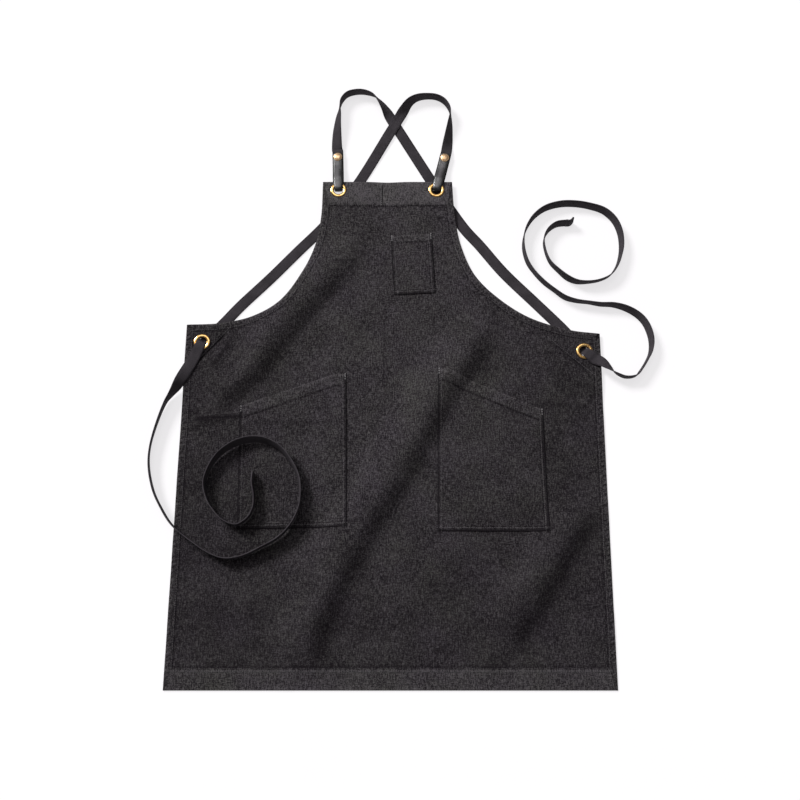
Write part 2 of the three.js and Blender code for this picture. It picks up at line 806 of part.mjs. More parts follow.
// Leather tabs: one strip each, from the snap down over the eyelet, through it and
// back up behind. Along is a share of the eyelet's bore, rise a share of the way
// from the back leaf to the front one, width a share of the strip's own.
const tabThroughEyelet = [
  { along: 0.86, rise: 1, narrow: 0.1 },
  { along: 0.42, rise: 1, narrow: 0.75 },
  { along: 0.22, rise: 0.97, narrow: 1 },
  { along: 0.12, rise: 0.82, narrow: 1 },
  { along: 0.09, rise: 0.5, narrow: 1 },
  { along: 0.12, rise: 0.18, narrow: 1 },
  { along: 0.22, rise: 0.03, narrow: 1 },
  { along: 0.42, rise: 0, narrow: 0.75 },
  { along: 0.86, rise: 0, narrow: 0.1 },
];
const tabLowest = layersUnderStrap;
const overBibEyelet = clothTopAtBibEyelet + clearance + eyeletDome + clearance;
const snapHole = snapPostDiameter + 2 * clearance;
const snapHoleSides = 10;
const tabBendShare = 0.5;
const tabOverRingShare = 0.34;

function makeTab(eyelet, degrees, snap) {
  const rows = [
    { distance: tabLength + tabEnd, foot: frontLeaf, narrow: 0 },
    { distance: tabLength - tabEnd, foot: frontLeaf, narrow: 0 },
    { distance: tabLength - 2 * tabEnd, foot: frontLeaf, narrow: 0 },
    { distance: tabLength * tabBendShare, foot: (frontLeaf + overBibEyelet) / 2, narrow: 0 },
    { distance: tabLength * tabOverRingShare, foot: overBibEyelet, narrow: 0 },
    ...tabThroughEyelet.map((row) => ({
      distance: row.along * eyeletBore,
      foot: tabLowest + row.rise * (overBibEyelet - tabLowest),
      narrow: row.narrow,
    })),
    { distance: tabLength * tabBendShare, foot: tabLowest, narrow: 0 },
    { distance: tabLength - 2 * tabEnd, foot: backLeaf, narrow: 0 },
    { distance: tabLength - tabEnd, foot: backLeaf, narrow: 0 },
    { distance: tabLength + tabEnd, foot: backLeaf, narrow: 0 },
  ];
  const stations = rows.map((row) => {
    const at = alongTab(eyelet, degrees, row.distance);
    const width = tabWidth + row.narrow * (tabWidthInEyelet - tabWidth);
    return { x: at.x, y: at.y, foot: row.foot, width, lean: 0 };
  });
  const direction = tabDirection(degrees);
  const side = new THREE.Vector3(-direction.y, direction.x, 0);
  const strip = toSolid(bendBand(stations, tabThickness, 2, side));
  return toGeometry(strip.subtract(roundCut(snap.x, snap.y, snapHole, snapHoleSides)));
}

addPiece('leather_tab_left', makeTab(eyelets.bib_left, tabTurnLeft, snaps.left), leather);
addPiece('leather_tab_right', makeTab(eyelets.bib_right, tabTurnRight, snaps.right), leather);

// Snaps: a domed cap whose post goes down through both leaves and the strap, and a
// flat stud behind them. Out is a share of the rim's radius, rise of the height.
const capShape = [
  { out: 1, rise: 0 },
  { out: 1, rise: 0.35 },
  { out: 0.85, rise: 0.8 },
  { out: 0.45, rise: 1 },
  { out: 0, rise: 1 },
];
const studShape = [
  { out: 0, rise: 0 },
  { out: 1, rise: 0 },
  { out: 1, rise: 0.6 },
  { out: 0.8, rise: 1 },
  { out: 0, rise: 1 },
];

function makeSnapCap() {
  const rim = snapDiameter / 2;
  const post = snapPostDiameter / 2;
  const profile = [
    [0, backLeaf],
    [post, backLeaf],
    [post, capSeat],
  ];
  for (const point of capShape) profile.push([point.out * rim, capSeat + point.rise * snapDome]);
  return turnedPiece(profile, roundSides);
}

function makeSnapStud() {
  const rim = studDiameter / 2;
  const profile = studShape.map((point) => [point.out * rim, point.rise * studThickness]);
  return turnedPiece(profile, roundSides);
}

for (const [side, snap] of Object.entries(snaps)) {
  const cap = addPiece(`snap_cap_${side}`, makeSnapCap(), agedBrass);
  cap.position.set(snap.x, snap.y, 0);
  const stud = addPiece(`snap_stud_${side}`, makeSnapStud(), agedBrass);
  stud.position.set(snap.x, snap.y, 0);
}

// What a tie lies on: the surface away from the apron, the panel and its pockets on
// it. The step up starts a little before each edge.
const stepReach = 16;
const stepLength = 26;

function distanceOutside(points, x, y) {
  let inside = false;
  let nearest = Infinity;
  points.forEach((a, i) => {
    const b = points[(i + 1) % points.length];
    nearest = Math.min(nearest, distanceToSegment(x, y, a, b));
    const crosses = a.y > y !== b.y > y && x < ((b.x - a.x) * (y - a.y)) / (b.y - a.y) + a.x;
    if (crosses) inside = !inside;
  });
  return inside ? 0 : nearest;
}

function stepUp(points, x, y) {
  return 1 - smoothStep((distanceOutside(points, x, y) - stepReach) / stepLength);
}

function groundUnderTie(x, y) {
  const onPanel = stepUp(outline, x, y);
  if (onPanel === 0) return 0;
  const pockets = Object.values(pocketOutlines).map((points) => stepUp(points, x, y));
  const pocketLift = (clearance + pocketThickness) * Math.max(...pockets);
  return (facetTop(x, y) + clearance + pocketLift) * onPanel;
}

// Height of a strap's lowest edge where no edge of it goes below the ground
function restingFoot(place, heading, lean) {
  const tilt = THREE.MathUtils.degToRad(lean);
  const reach = (strapWidth / 2) * Math.cos(tilt);
  const rise = (strapWidth / 2) * Math.sin(tilt);
  let foot = 0;
  for (const share of [-1, 0, 1]) {
    const x = place.x + heading.y * reach * share;
    const y = place.y - heading.x * reach * share;
    foot = Math.max(foot, groundUnderTie(x, y) - Math.abs(rise) - rise * share);
  }
  return foot;
}

// A strap's way through a corner eyelet, as the tab's table has it, with along
// measured on from the middle of the bore
const strapThroughEyelet = [
  { along: -0.86, rise: 0, narrow: 0.35 },
  { along: -0.42, rise: 0, narrow: 0.9 },
  { along: -0.205, rise: 0.03, narrow: 1 },
  { along: -0.08, rise: 0.22, narrow: 1 },
  { along: 0, rise: 0.5, narrow: 1 },
  { along: 0.08, rise: 0.78, narrow: 1 },
  { along: 0.205, rise: 0.97, narrow: 1 },
  { along: 0.42, rise: 1, narrow: 0.85 },
  { along: 0.86, rise: 1, narrow: 0.3 },
];
const holdAtCrossing = 1.05 * strapWidth;
const strapLeavesTab = 1.5 * tabEnd;

function makeStrap(strap) {
  const { snap, turn, loop, rise, over, back, eyelet, tie, tieLength, flatLean } = strap;
  const direction = tabDirection(turn);
  const stations = [];
  const put = (at, foot, lean, width = strapWidth) =>
    stations.push({ x: at.x, y: at.y, foot, lean, width });

  for (const distance of [-strapEndInTab, 0, tabEnd, strapLeavesTab]) {
    put(snap.clone().addScaledVector(direction, distance), strapInTab, 0);
  }
  for (const row of loop) {
    const x = snap.x + row.across * (crossing.x - snap.x);
    put({ x, y: snap.y + row.up * rise }, 0, row.lean);
  }
  const backPoints = back.map(
    (row) =>
      new THREE.Vector2(
        crossing.x + row.across * (eyelet.x - crossing.x),
        crossing.y + row.down * (eyelet.y - crossing.y)
      )
  );
  const onwards = backPoints[0].clone().sub(crossing).normalize();
  for (const distance of [-holdAtCrossing, 0, holdAtCrossing]) {
    put(crossing.clone().addScaledVector(onwards, distance), over, flatLean);
  }
  for (const at of backPoints) put(at, 0, flatLean);

  const middle = new THREE.Vector2(eyelet.x, eyelet.y);
  const coming = middle.clone().sub(backPoints[backPoints.length - 1]).normalize();
  const going = new THREE.Vector2(tie[0].x, tie[0].y).normalize();
  const highest = eyelet.clothTop + clearance + eyeletDome + clearance;
  for (const row of strapThroughEyelet) {
    const way = row.along < 0 ? coming : going;
    const at = middle.clone().addScaledVector(way, row.along * eyeletBore);
    const width = strapWidth + row.narrow * (strapWidthInEyelet - strapWidth);
    put(at, row.rise * highest, flatLean, width);
  }

  const tiePoints = tie.map(
    (row) => new THREE.Vector2(eyelet.x + row.x * tieLength, eyelet.y + row.y * tieLength)
  );
  tiePoints.forEach((at, i) => {
    const before = tiePoints[i - 1] ?? middle;
    const after = tiePoints[i + 1] ?? at;
    const heading = after.clone().sub(before).normalize();
    const lean = flatLean + tie[i].lean;
    put(at, restingFoot(at, heading, lean), lean);
  });

  const band = toSolid(bendBand(stations, strapThickness, 2));
  return toGeometry(band.subtract(roundCut(snap.x, snap.y, snapHole, snapHoleSides)));
}

const strapFromLeftTab = {
  snap: snaps.left,
  turn: tabTurnLeft,
  loop: loopLeft,
  rise: shoulderRiseLeft,
  over: 0,
  back: backToRight,
  eyelet: eyelets.corner_right,
  tie: tieRight,
  tieLength: tieLengthRight,
  flatLean: 0,
};
const strapFromRightTab = {
  snap: snaps.right,
  turn: tabTurnRight,
  loop: loopRight,
  rise: shoulderRiseRight,
  over: strapThickness + clearance,
  back: backToLeft,
  eyelet: eyelets.corner_left,
  tie: tieLeft,
  tieLength: tieLengthLeft,
  flatLean: -180,
};
addPiece('strap_from_left_tab', makeStrap(strapFromLeftTab), webbing);
addPiece('strap_from_right_tab', makeStrap(strapFromRightTab), webbing);

// The origin is the middle of the underside of the whole apron.
const extent = new THREE.Box3().setFromObject(apron);
const centre = extent.getCenter(new THREE.Vector3());
apron.position.set(-centre.x, -centre.y, -extent.min.z);

export default apron;
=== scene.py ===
"""Dresses the cross back apron: denim, webbing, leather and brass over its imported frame."""

import math

import bpy
import numpy as np
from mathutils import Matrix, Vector, noise
from mathutils.geometry import delaunay_2d_cdt


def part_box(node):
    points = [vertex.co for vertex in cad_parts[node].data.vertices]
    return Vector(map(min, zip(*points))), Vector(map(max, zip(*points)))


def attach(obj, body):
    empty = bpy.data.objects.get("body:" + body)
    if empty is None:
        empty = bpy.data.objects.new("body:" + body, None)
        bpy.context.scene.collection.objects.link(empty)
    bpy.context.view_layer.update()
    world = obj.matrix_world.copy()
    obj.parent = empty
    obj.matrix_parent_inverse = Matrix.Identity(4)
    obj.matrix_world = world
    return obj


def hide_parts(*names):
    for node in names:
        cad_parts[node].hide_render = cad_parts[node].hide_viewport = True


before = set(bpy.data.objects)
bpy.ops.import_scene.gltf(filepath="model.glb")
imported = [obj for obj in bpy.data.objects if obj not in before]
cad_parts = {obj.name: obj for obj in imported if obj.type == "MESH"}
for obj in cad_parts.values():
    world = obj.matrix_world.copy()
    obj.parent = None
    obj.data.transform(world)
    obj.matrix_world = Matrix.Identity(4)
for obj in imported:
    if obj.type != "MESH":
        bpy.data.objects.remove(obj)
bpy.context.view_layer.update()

# Sizes in millimetres. As in the part's own drawing, x = 0 is the skirt's centreline,
# y = 0 the bottom of the hem and z = 0 the surface that the apron lies on.
MM = 0.001
TURN = 2 * math.pi
SKIRT_WIDTH = 690
APRON_LENGTH = 855
SIDE_LENGTH_LEFT = 590
SIDE_LENGTH_RIGHT = 574
BIB_WIDTH = 225
BIB_SHIFT = -7
WAIST_SHIFT = 3
CLOTH = 1.0
HEM_TURN = 1.2
SIDE_HEM = 12
BOTTOM_HEM = 33
TOP_HEM = 45
CLEARANCE = 0.3

POCKET_CLOTH = 1.2
POCKET_SIDE_HEM = 7
BIB_OPENING_HEM = 13
HIP_OPENING_HEM = 19
BIB_POCKET_WIDTH = 71
BIB_POCKET_HEIGHT = 109
BIB_POCKET_DROP = 100
BIB_POCKET_OFFSET = 44
BIB_POCKET_TURN = 3.2
HIP_POCKET_WIDTH = 175
HIP_POCKET_INNER = 260
HIP_POCKET_OUTER = 192
HIP_POCKET_FLAT = 17
HIP_POCKET_SPACING = 145
HIP_POCKET_SHIFT = 3.5
HIP_POCKET_RISE = 249
HIP_POCKET_PULL_LEFT = [(0, 0), (0, 0), (0, 11), (-6, -6), (0, -5)]
HIP_POCKET_PULL_RIGHT = [(-2, -6), (0, -9), (0, 0), (4, 0), (4, 0)]
HIP_POCKET_TURN_LEFT = 1.1
HIP_POCKET_TURN_RIGHT = 0.7
PATCH_ACROSS = 80
PATCH_DOWN = 92
PATCH_SEAM_LEFT = 72
PATCH_SEAM_RIGHT = 87
PATCH_SEAM_DOWN = 76

EYELET_DIAMETER = 27.5
EYELET_BORE = 16.6
EYELET_WALL = 0.7
EYELET_DOME = 1.2
EYELET_LIP = 2.6
WASHER = 0.8
WASHER_DIAMETER = 26
BIB_EYELET_INSET = 27.3
BIB_EYELET_DROP = 16
CORNER_EYELET_INSET = 27
CORNER_EYELET_DROP = 31

STRAP_WIDTH = 19
STRAP_THICKNESS = 1.5
STRAP_IN_EYELET = 15
CROSSING_RISE = 116
CROSSING_SHIFT = 13
SHOULDER_RISE_LEFT = 129.5
SHOULDER_RISE_RIGHT = 122.5
TIE_LENGTH_LEFT = 1038
TIE_LENGTH_RIGHT = 1020
STRAP_END_IN_TAB = 8
TIE_END_HEM = 15

TAB_WIDTH = 19
TAB_IN_EYELET = 14
TAB_THICKNESS = 1.8
TAB_CROWN = 0.7
TAB_LENGTH = 65
TAB_END = 8
TAB_TURN_LEFT = 2
TAB_TURN_RIGHT = -13.6
SNAP_DIAMETER = 15.6
SNAP_DOME = 2.4
SNAP_POST = 4
STUD_DIAMETER = 11
STUD_THICKNESS = 1.2

# Stitching
STITCH_PITCH = 3.6
STITCH_LENGTH = 2.9
THREAD = 0.5
TACK_LENGTH = 8
TACK_ROWS = (1.4, 1.9, 2.4)
STITCH_LIFT = 0.1
POCKET_STITCH_LIFT = 0.05

# Heights of the layers, from the surface up
UNDER_TAB = TAB_THICKNESS + CLEARANCE
UNDER_STRAP = STRAP_THICKNESS + CLEARANCE
SET_DEPTH = EYELET_WALL + CLEARANCE + WASHER + CLEARANCE
CLOTH_ON_FLOOR = HEM_TURN + CLOTH
CLOTH_OVER_STRAP = CLOTH_ON_FLOOR + UNDER_STRAP
CLOTH_AT_BIB_EYELET = UNDER_STRAP + UNDER_TAB + SET_DEPTH + CLOTH_ON_FLOOR
PATCH_STACK = CLOTH + CLEARANCE + CLOTH
CLOTH_AT_CORNER_EYELET = max(UNDER_STRAP + SET_DEPTH + PATCH_STACK, CLOTH_OVER_STRAP)

# Armhole edges: across is a share of the way out from bib to skirt, up a share of the
# way from waist to bib top.
ARMHOLE_LEFT = [
    (0, 1), (0.01, 0.74), (0.05, 0.555), (0.15, 0.345),
    (0.31, 0.15), (0.53, 0.054), (0.75, 0.01), (1, 0),
]
ARMHOLE_RIGHT = [
    (0, 1), (0.02, 0.74), (0.07, 0.54), (0.157, 0.371),
    (0.32, 0.222), (0.523, 0.104), (0.79, 0.024), (1, 0),
]

# Soft folds: height and reach are shares of the skirt's width, and each crest runs
# through points that are shares of that width and of the apron's length. The share of
# its run over which it grows comes before them. The side towards the bib's left is gentle.
FOLDS = [
    (0.0195, 0.056, 0.33, [
        (-0.02, 0.95), (-0.16, 0.8), (-0.245, 0.714), (-0.34, 0.605), (-0.43, 0.54),
    ]),
    (0.021, 0.06, 0.12, [
        (0.235, 0.705), (0.172, 0.625), (0.125, 0.582), (0.066, 0.487),
        (0.0, 0.393), (-0.072, 0.3), (-0.14, 0.2), (-0.182, 0.113), (-0.2, 0.055),
    ]),
    (0.0165, 0.055, 0.2, [
        (0.47, 0.355), (0.385, 0.262), (0.315, 0.17), (0.24, 0.085),
    ]),
]
FOLD_GENTLE_SIDE = 1.5
FOLD_END = 1 / 5
FOLD_TAIL = 0.3

# Shoulder loops: across is a share of the way over to the crossing, up a share of the
# loop's rise, and lean the degrees that the webbing has tipped onto its edge.
LOOP_LEFT = [
    (-0.018, 0.135, 12), (-0.022, 0.42, 42), (0, 0.645, 64),
    (0.02, 0.775, 88), (0.055, 0.87, 92), (0.15, 0.96, 90),
    (0.31, 1, 87), (0.47, 0.995, 84), (0.63, 0.945, 72),
    (0.735, 0.86, 54), (0.825, 0.755, 34),
]
LOOP_RIGHT = [
    (-0.056, 0.21, -20), (-0.085, 0.355, -42), (-0.115, 0.54, -64),
    (-0.13, 0.705, -88), (-0.1, 0.81, -92), (0, 0.92, -92),
    (0.155, 0.985, -90), (0.345, 1, -90), (0.55, 0.975, -100),
    (0.7, 0.905, -120), (0.815, 0.79, -146),
]

# Straps behind the bib: shares of the way from the crossing to the corner eyelet
BACK_TO_RIGHT = [
    (0.2, 0.258), (0.292, 0.373), (0.383, 0.477), (0.463, 0.548),
    (0.585, 0.664), (0.755, 0.797), (0.895, 0.907),
]
BACK_TO_LEFT = [
    (0.187, 0.265), (0.322, 0.425), (0.411, 0.508), (0.505, 0.586),
    (0.658, 0.717), (0.809, 0.839), (0.899, 0.92),
]

# Ties on from their eyelets: shares of the tie's length, and lean as above
TIE_LEFT = [
    (-0.009, -0.022, 0), (-0.0165, -0.038, 4), (-0.026, -0.057, 18),
    (-0.036, -0.077, 60), (-0.0435, -0.0895, 84), (-0.05, -0.1, 94), (-0.061, -0.13, 99),
    (-0.0705, -0.173, 101), (-0.0705, -0.204, 96), (-0.0615, -0.241, 92),
    (-0.048, -0.268, 90), (-0.028, -0.297, 88), (0.003, -0.3215, 87),
    (0.032, -0.34, 86), (0.0545, -0.347, 86), (0.0795, -0.3435, 87),
    (0.107, -0.331, 88), (0.1355, -0.314, 88), (0.153, -0.293, 86),
    (0.163, -0.268, 84), (0.1645, -0.245, 80), (0.161, -0.2215, 78),
    (0.147, -0.1945, 78), (0.1295, -0.1755, 74), (0.1075, -0.1645, 70),
    (0.083, -0.163, 69), (0.061, -0.169, 74), (0.038, -0.185, 80),
    (0.0235, -0.207, 84), (0.017, -0.231, 87), (0.021, -0.2525, 89),
    (0.031, -0.271, 89), (0.049, -0.2895, 88), (0.069, -0.2965, 88),
    (0.0855, -0.2865, 87), (0.0935, -0.271, 88), (0.0945, -0.2525, 90),
    (0.091, -0.232, 93), (0.0915, -0.215, 92),
]
TIE_RIGHT = [
    (0.0155, -0.0135, 0), (0.0255, -0.019, 8), (0.0365, -0.0305, 50),
    (0.047, -0.0395, 78), (0.064, -0.0455, 84), (0.0805, -0.043, 84),
    (0.09, -0.032, 84), (0.099, -0.018, 86), (0.1065, -0.003, 82),
    (0.1095, 0.016, 75), (0.1065, 0.0355, 74), (0.099, 0.052, 76),
    (0.0875, 0.064, 78), (0.07, 0.074, 81), (0.0505, 0.0795, 88),
    (0.0295, 0.0805, 92), (0.0115, 0.0835, 98), (-0.01, 0.0865, 94),
    (-0.028, 0.0925, 88), (-0.0445, 0.105, 94), (-0.0615, 0.1195, 90),
    (-0.0765, 0.137, 93), (-0.088, 0.157, 87), (-0.0935, 0.1835, 87),
    (-0.0915, 0.2055, 91), (-0.085, 0.223, 94), (-0.0735, 0.24, 97),
    (-0.0545, 0.255, 99), (-0.0285, 0.263, 99), (-0.003, 0.2635, 98),
    (0.022, 0.259, 98), (0.0455, 0.25, 101), (0.062, 0.2325, 104),
    (0.07, 0.21, 105), (0.071, 0.1855, 104), (0.0675, 0.167, 98),
    (0.0605, 0.148, 97), (0.0485, 0.132, 99), (0.0315, 0.1235, 100),
    (0.013, 0.12, 100), (-0.0065, 0.1205, 90), (-0.022, 0.1275, 83),
    (-0.0365, 0.1405, 92), (-0.05, 0.156, 95), (-0.0575, 0.178, 95),
    (-0.0585, 0.198, 92), (-0.051, 0.214, 95), (-0.037, 0.225, 98),
    (-0.0235, 0.2275, 98), (-0.0135, 0.228, 95), (-0.008, 0.2335, 93),
]

# Ways through an eyelet: along is a share of the bore, rise a share of the height to
# be climbed, narrow a share of how far the band is drawn in.
TAB_THROUGH = [
    (0.86, 1, 0.1), (0.42, 1, 0.75), (0.22, 0.97, 1),
    (0.02, 0.82, 1), (-0.02, 0.5, 1), (0.02, 0.18, 1),
    (0.22, 0.03, 1), (0.42, 0, 0.75), (0.86, 0, 0.1),
]
STRAP_THROUGH = [
    (-0.86, 0, 0.35), (-0.42, 0, 0.9), (-0.205, 0.03, 1),
    (-0.08, 0.22, 1), (0, 0.5, 1), (0.08, 0.78, 1),
    (0.205, 0.97, 0.9), (0.42, 1, 0.5), (0.86, 1, 0.1),
]

# The pen slot's stitches, and creases left in the cloth from its folding: a depth and a
# width in millimetres, and the points of the line in the drawing.
SLOT_X = -15
CREASES = [
    (-2.2, 1.6, [(SLOT_X, 855), (SLOT_X, 840), (SLOT_X, 826), (SLOT_X, 810)]),
    (3.0, 7, [(-330, 426), (-300, 428), (-262, 431), (-232, 434)]),
    (1.4, 9, [(-240, 426), (-170, 421), (-110, 421), (-72, 426)]),
    (1.6, 7, [(-70, 441), (-40, 446), (-12, 447)]),
    (1.4, 8, [(196, 448), (250, 452), (300, 450), (346, 446)]),
    (1.2, 8, [(-12, 640), (-14, 570), (-11, 500), (-10, 450)]),
    (1.2, 9, [(-66, 780), (-68, 700), (-66, 640)]),
    (2.6, 6, [(-262, 576), (-277, 545), (-303, 512)]),
    (-1.4, 5, [(-270, 576), (-288, 552), (-310, 528)]),
    (1.4, 16, [(-180, 470), (-120, 505), (-70, 545)]),
    (1.6, 22, [(110, 180), (60, 140), (30, 110)]),
    (-1.2, 20, [(95, 700), (110, 640), (150, 590)]),
]


def smooth_step(value):
    """Nothing below nought, one above one, and an easy rise between."""
    t = np.clip(value, 0.0, 1.0)
    return t * t * (3 - 2 * t)


def place(points):
    """Drawing millimetres to the frame's metres."""
    points = np.asarray(points, float)
    return (points + SHIFT) * MM


panel_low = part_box("apron_panel")[0]
SHIFT = np.array([panel_low.x / MM + SKIRT_WIDTH / 2, panel_low.y / MM, 0.0])

bib_left_x = BIB_SHIFT - BIB_WIDTH / 2
bib_right_x = BIB_SHIFT + BIB_WIDTH / 2
corner_left = np.array([WAIST_SHIFT - SKIRT_WIDTH / 2, SIDE_LENGTH_LEFT])
corner_right = np.array([WAIST_SHIFT + SKIRT_WIDTH / 2, SIDE_LENGTH_RIGHT])
crossing = np.array([BIB_SHIFT + CROSSING_SHIFT, APRON_LENGTH + CROSSING_RISE])

# Each eyelet: its middle, the cloth's height there, and how thick a stack it holds
AT_BIB = (CLOTH_AT_BIB_EYELET, CLOTH_ON_FLOOR)
AT_CORNER = (CLOTH_AT_CORNER_EYELET, PATCH_STACK)
bib_eyelet_y = APRON_LENGTH - BIB_EYELET_DROP
EYELETS = {
    name: ((x, y), *heights)
    for name, x, y, heights in (
        ("bib_left", bib_left_x + BIB_EYELET_INSET, bib_eyelet_y, AT_BIB),
        ("bib_right", bib_right_x - BIB_EYELET_INSET, bib_eyelet_y, AT_BIB),
        ("corner_left", *(corner_left + (CORNER_EYELET_INSET, -CORNER_EYELET_DROP)), AT_CORNER),
        ("corner_right", *(corner_right - (CORNER_EYELET_INSET, CORNER_EYELET_DROP)), AT_CORNER),
    )
}

# The seam that holds each corner's second layer, seen from the front
PATCH_SEAMS = [
    [
        (corner[0] - side * across, corner[1] - 0.7 * SIDE_HEM),
        (corner[0] - side * SIDE_HEM, corner[1] - PATCH_SEAM_DOWN),
    ]
    for corner, side, across in (
        (corner_left, -1, PATCH_SEAM_LEFT),
        (corner_right, 1, PATCH_SEAM_RIGHT),
    )
]
CREASES += [(-2.4, 1.8, line) for line in PATCH_SEAMS]


# Camera, light and floor
CAMERA_TILT = 16
CAMERA_DISTANCE = 1637.6
CAMERA_AIM = (13, 439.5, 0)
FOCAL_PIXELS = 1000
PHOTO_PIXELS = 800
PHOTO_CENTRE = (399, 412)
SENSOR = 36


def make_camera():
    data = bpy.data.cameras.new("camera")
    data.sensor_width = SENSOR
    data.lens = FOCAL_PIXELS / PHOTO_PIXELS * SENSOR
    data.shift_x = (PHOTO_PIXELS / 2 - PHOTO_CENTRE[0]) / PHOTO_PIXELS
    data.shift_y = (PHOTO_CENTRE[1] - PHOTO_PIXELS / 2) / PHOTO_PIXELS
    data.clip_start = 0.05
    data.clip_end = 50
    camera = link("camera", data)
    tilt = math.radians(CAMERA_TILT)
    back = np.array([0, -math.sin(tilt), math.cos(tilt)]) * CAMERA_DISTANCE
    camera.location = place(np.array(CAMERA_AIM) + back)
    camera.rotation_euler = (tilt, 0, 0)
    bpy.context.scene.camera = camera


def make_light():
    scene = bpy.context.scene
    scene.view_settings.view_transform = "Standard"
    scene.view_settings.look = "None"
    world = bpy.data.worlds.new("studio")
    world.use_nodes = True
    sky = world.node_tree.nodes["Background"]
    sky.inputs["Color"].default_value = (1.0, 0.985, 1.0, 1)
    sky.inputs["Strength"].default_value = 0.25
    scene.world = world
    for name, strength, width, toward in (
        ("window", 3.65, 18, (0.65, -0.57, -0.66)),
        ("overhead", 0.5, 30, (0.09, -0.44, -0.9)),
    ):
        data = bpy.data.lights.new(name, "SUN")
        data.energy = strength
        data.angle = math.radians(width)
        lamp = link(name, data)
        lamp.rotation_euler = Vector(toward).to_track_quat("-Z", "Y").to_euler()
        lamp.location = (0, 0, 2)


# Node helpers
def math_node(operation, last=False):
    """A method that puts a Math node after a value, which comes first in it or last."""

    def method(self, *others):
        values = (*others, self) if last else (self, *others)
        return add(self.tree, "ShaderNodeMath", {"operation": operation}, *values)[0]

    return method


class Value:
    """A node's output, which takes part in plain arithmetic."""

    __add__ = math_node("ADD")
    __sub__ = math_node("SUBTRACT")
    __mul__ = math_node("MULTIPLY")
    __truediv__ = math_node("DIVIDE")
    __rtruediv__ = math_node("DIVIDE", last=True)
    power = math_node("POWER")
    absolute = math_node("ABSOLUTE")
    sine = math_node("SINE")

    def __init__(self, socket):
        self.socket = socket
        self.tree = socket.id_data

    def spread(self, low, high, to_low=0.0, to_high=1.0):
        """The value's range mapped to another, held at its ends."""
        return add(self.tree, "ShaderNodeMapRange", None, self, low, high, to_low, to_high)[0]


def give(socket, value):
    """Links a value to a socket, or sets a number or a colour on it."""
    if isinstance(value, Value):
        value.tree.links.new(value.socket, socket)
    else:
        socket.default_value = value


def add(tree, kind, settings=None, *in_order, **by_name):
    """A new node's outputs. Its inputs are given in their order or by their names."""
    item = tree.nodes.new(kind)
    for key, value in (settings or {}).items():
        setattr(item, key, value)
    for socket, value in zip(item.inputs, in_order):
        give(socket, value)
    for key, value in by_name.items():
        give(item.inputs[key.replace("_", " ")], value)
    return [Value(socket) for socket in item.outputs]


def mixed(share, first, second):
    """Two colours mixed."""
    item = share.tree.nodes.new("ShaderNodeMix")
    item.data_type = "RGBA"
    for index, value in ((0, share), (6, first), (7, second)):
        give(item.inputs[index], value)
    return Value(item.outputs[2])


def soft_noise(tree, spot, scale, detail):
    return add(
        tree, "ShaderNodeTexNoise", Vector=spot, Scale=scale, Detail=detail, Roughness=0.6
    )[0]


def new_group(name, inputs, outputs, kind="ShaderNodeTree"):
    """A node group with named sockets: its tree, what it is given and what it puts out."""
    tree = bpy.data.node_groups.new(name, kind)
    for socket, form, value in inputs:
        made = tree.interface.new_socket(socket, in_out="INPUT", socket_type=form)
        if value is not None:
            made.default_value = value
    for socket, form in outputs:
        tree.interface.new_socket(socket, in_out="OUTPUT", socket_type=form)
    given = tree.nodes.new("NodeGroupInput").outputs[: len(inputs)]
    return tree, [Value(socket) for socket in given], tree.nodes.new("NodeGroupOutput").inputs


GROUPS = {}


def use_group(name, *values):
    return add(values[0].tree, "ShaderNodeGroup", {"node_tree": GROUPS[name]}, *values)


FLOAT = "NodeSocketFloat"
VECTOR = "NodeSocketVector"


def make_yarn_group():
    """Diagonal rib of a twill, and the light and dark yarns that run through it."""
    tree, (spot, pitch, slub), result = new_group(
        "twill_yarns",
        [("Position", VECTOR, None), ("Rib pitch", FLOAT, 1.1), ("Slub length", FLOAT, 9.0)],
        [("Height", FLOAT), ("Tone", FLOAT)],
    )
    x, y, _ = add(tree, "ShaderNodeSeparateXYZ", None, spot)
    turn = TURN / pitch
    give(result[0], ((x + y) * turn).sine() + ((y - x) * turn).sine() * 0.5)
    warp, weft = (
        soft_noise(tree, add(tree, "ShaderNodeCombineXYZ", None, across, along)[0], 0.55, 2.0)
        for across, along in ((x, y / slub), (x / slub, y))
    )
    give(result[1], warp * 0.62 + weft * 0.38)
    return tree


def make_mottle_group():
    """Clouds of fading at one size and small flecks at another, both in millimetres."""
    tree, (spot, *sizes), result = new_group(
        "mottle",
        [("Position", VECTOR, None), ("Cloud size", FLOAT, 40.0), ("Fleck size", FLOAT, 2.2)],
        [("Cloud", FLOAT), ("Fleck", FLOAT)],
    )
    for size, detail, output in zip(sizes, (4.0, 2.0), result):
        give(output, soft_noise(tree, spot, 1.0 / size, detail))
    return tree


def make_hem_group():
    """Rope-like puckers between an edge and the row of stitches that holds its hem."""
    tree, (share, run, pitch, amount), result = new_group(
        "hem_pucker",
        [("Share", FLOAT, 2.0), ("Run", FLOAT, 0.0), ("Pitch", FLOAT, 8.0), ("Amount", FLOAT, 1.0)],
        [("Height", FLOAT)],
    )
    wave = ((run + share * 6.0) * (TURN / pitch)).sine()
    middle = (share - 0.28).absolute().spread(0.42, 0.12)
    groove = (share - 1.0).absolute().spread(0.16, 0.02)
    give(result[0], wave * middle * amount + groove * -0.8)
    return tree


def object_millimetres(tree):
    spot = Value(tree.nodes.new("ShaderNodeTexCoord").outputs["Object"])
    scale = (1 / MM, 1 / MM, 1 / MM)
    return add(tree, "ShaderNodeMapping", {"vector_type": "POINT"}, Vector=spot, Scale=scale)[0]


def map_millimetres(tree, layer):
    """A piece's own map, in millimetres: across, or share of the hem, and along."""
    spot = add(tree, "ShaderNodeUVMap", {"uv_map": layer})[0]
    return add(tree, "ShaderNodeSeparateXYZ", None, spot)[:2]


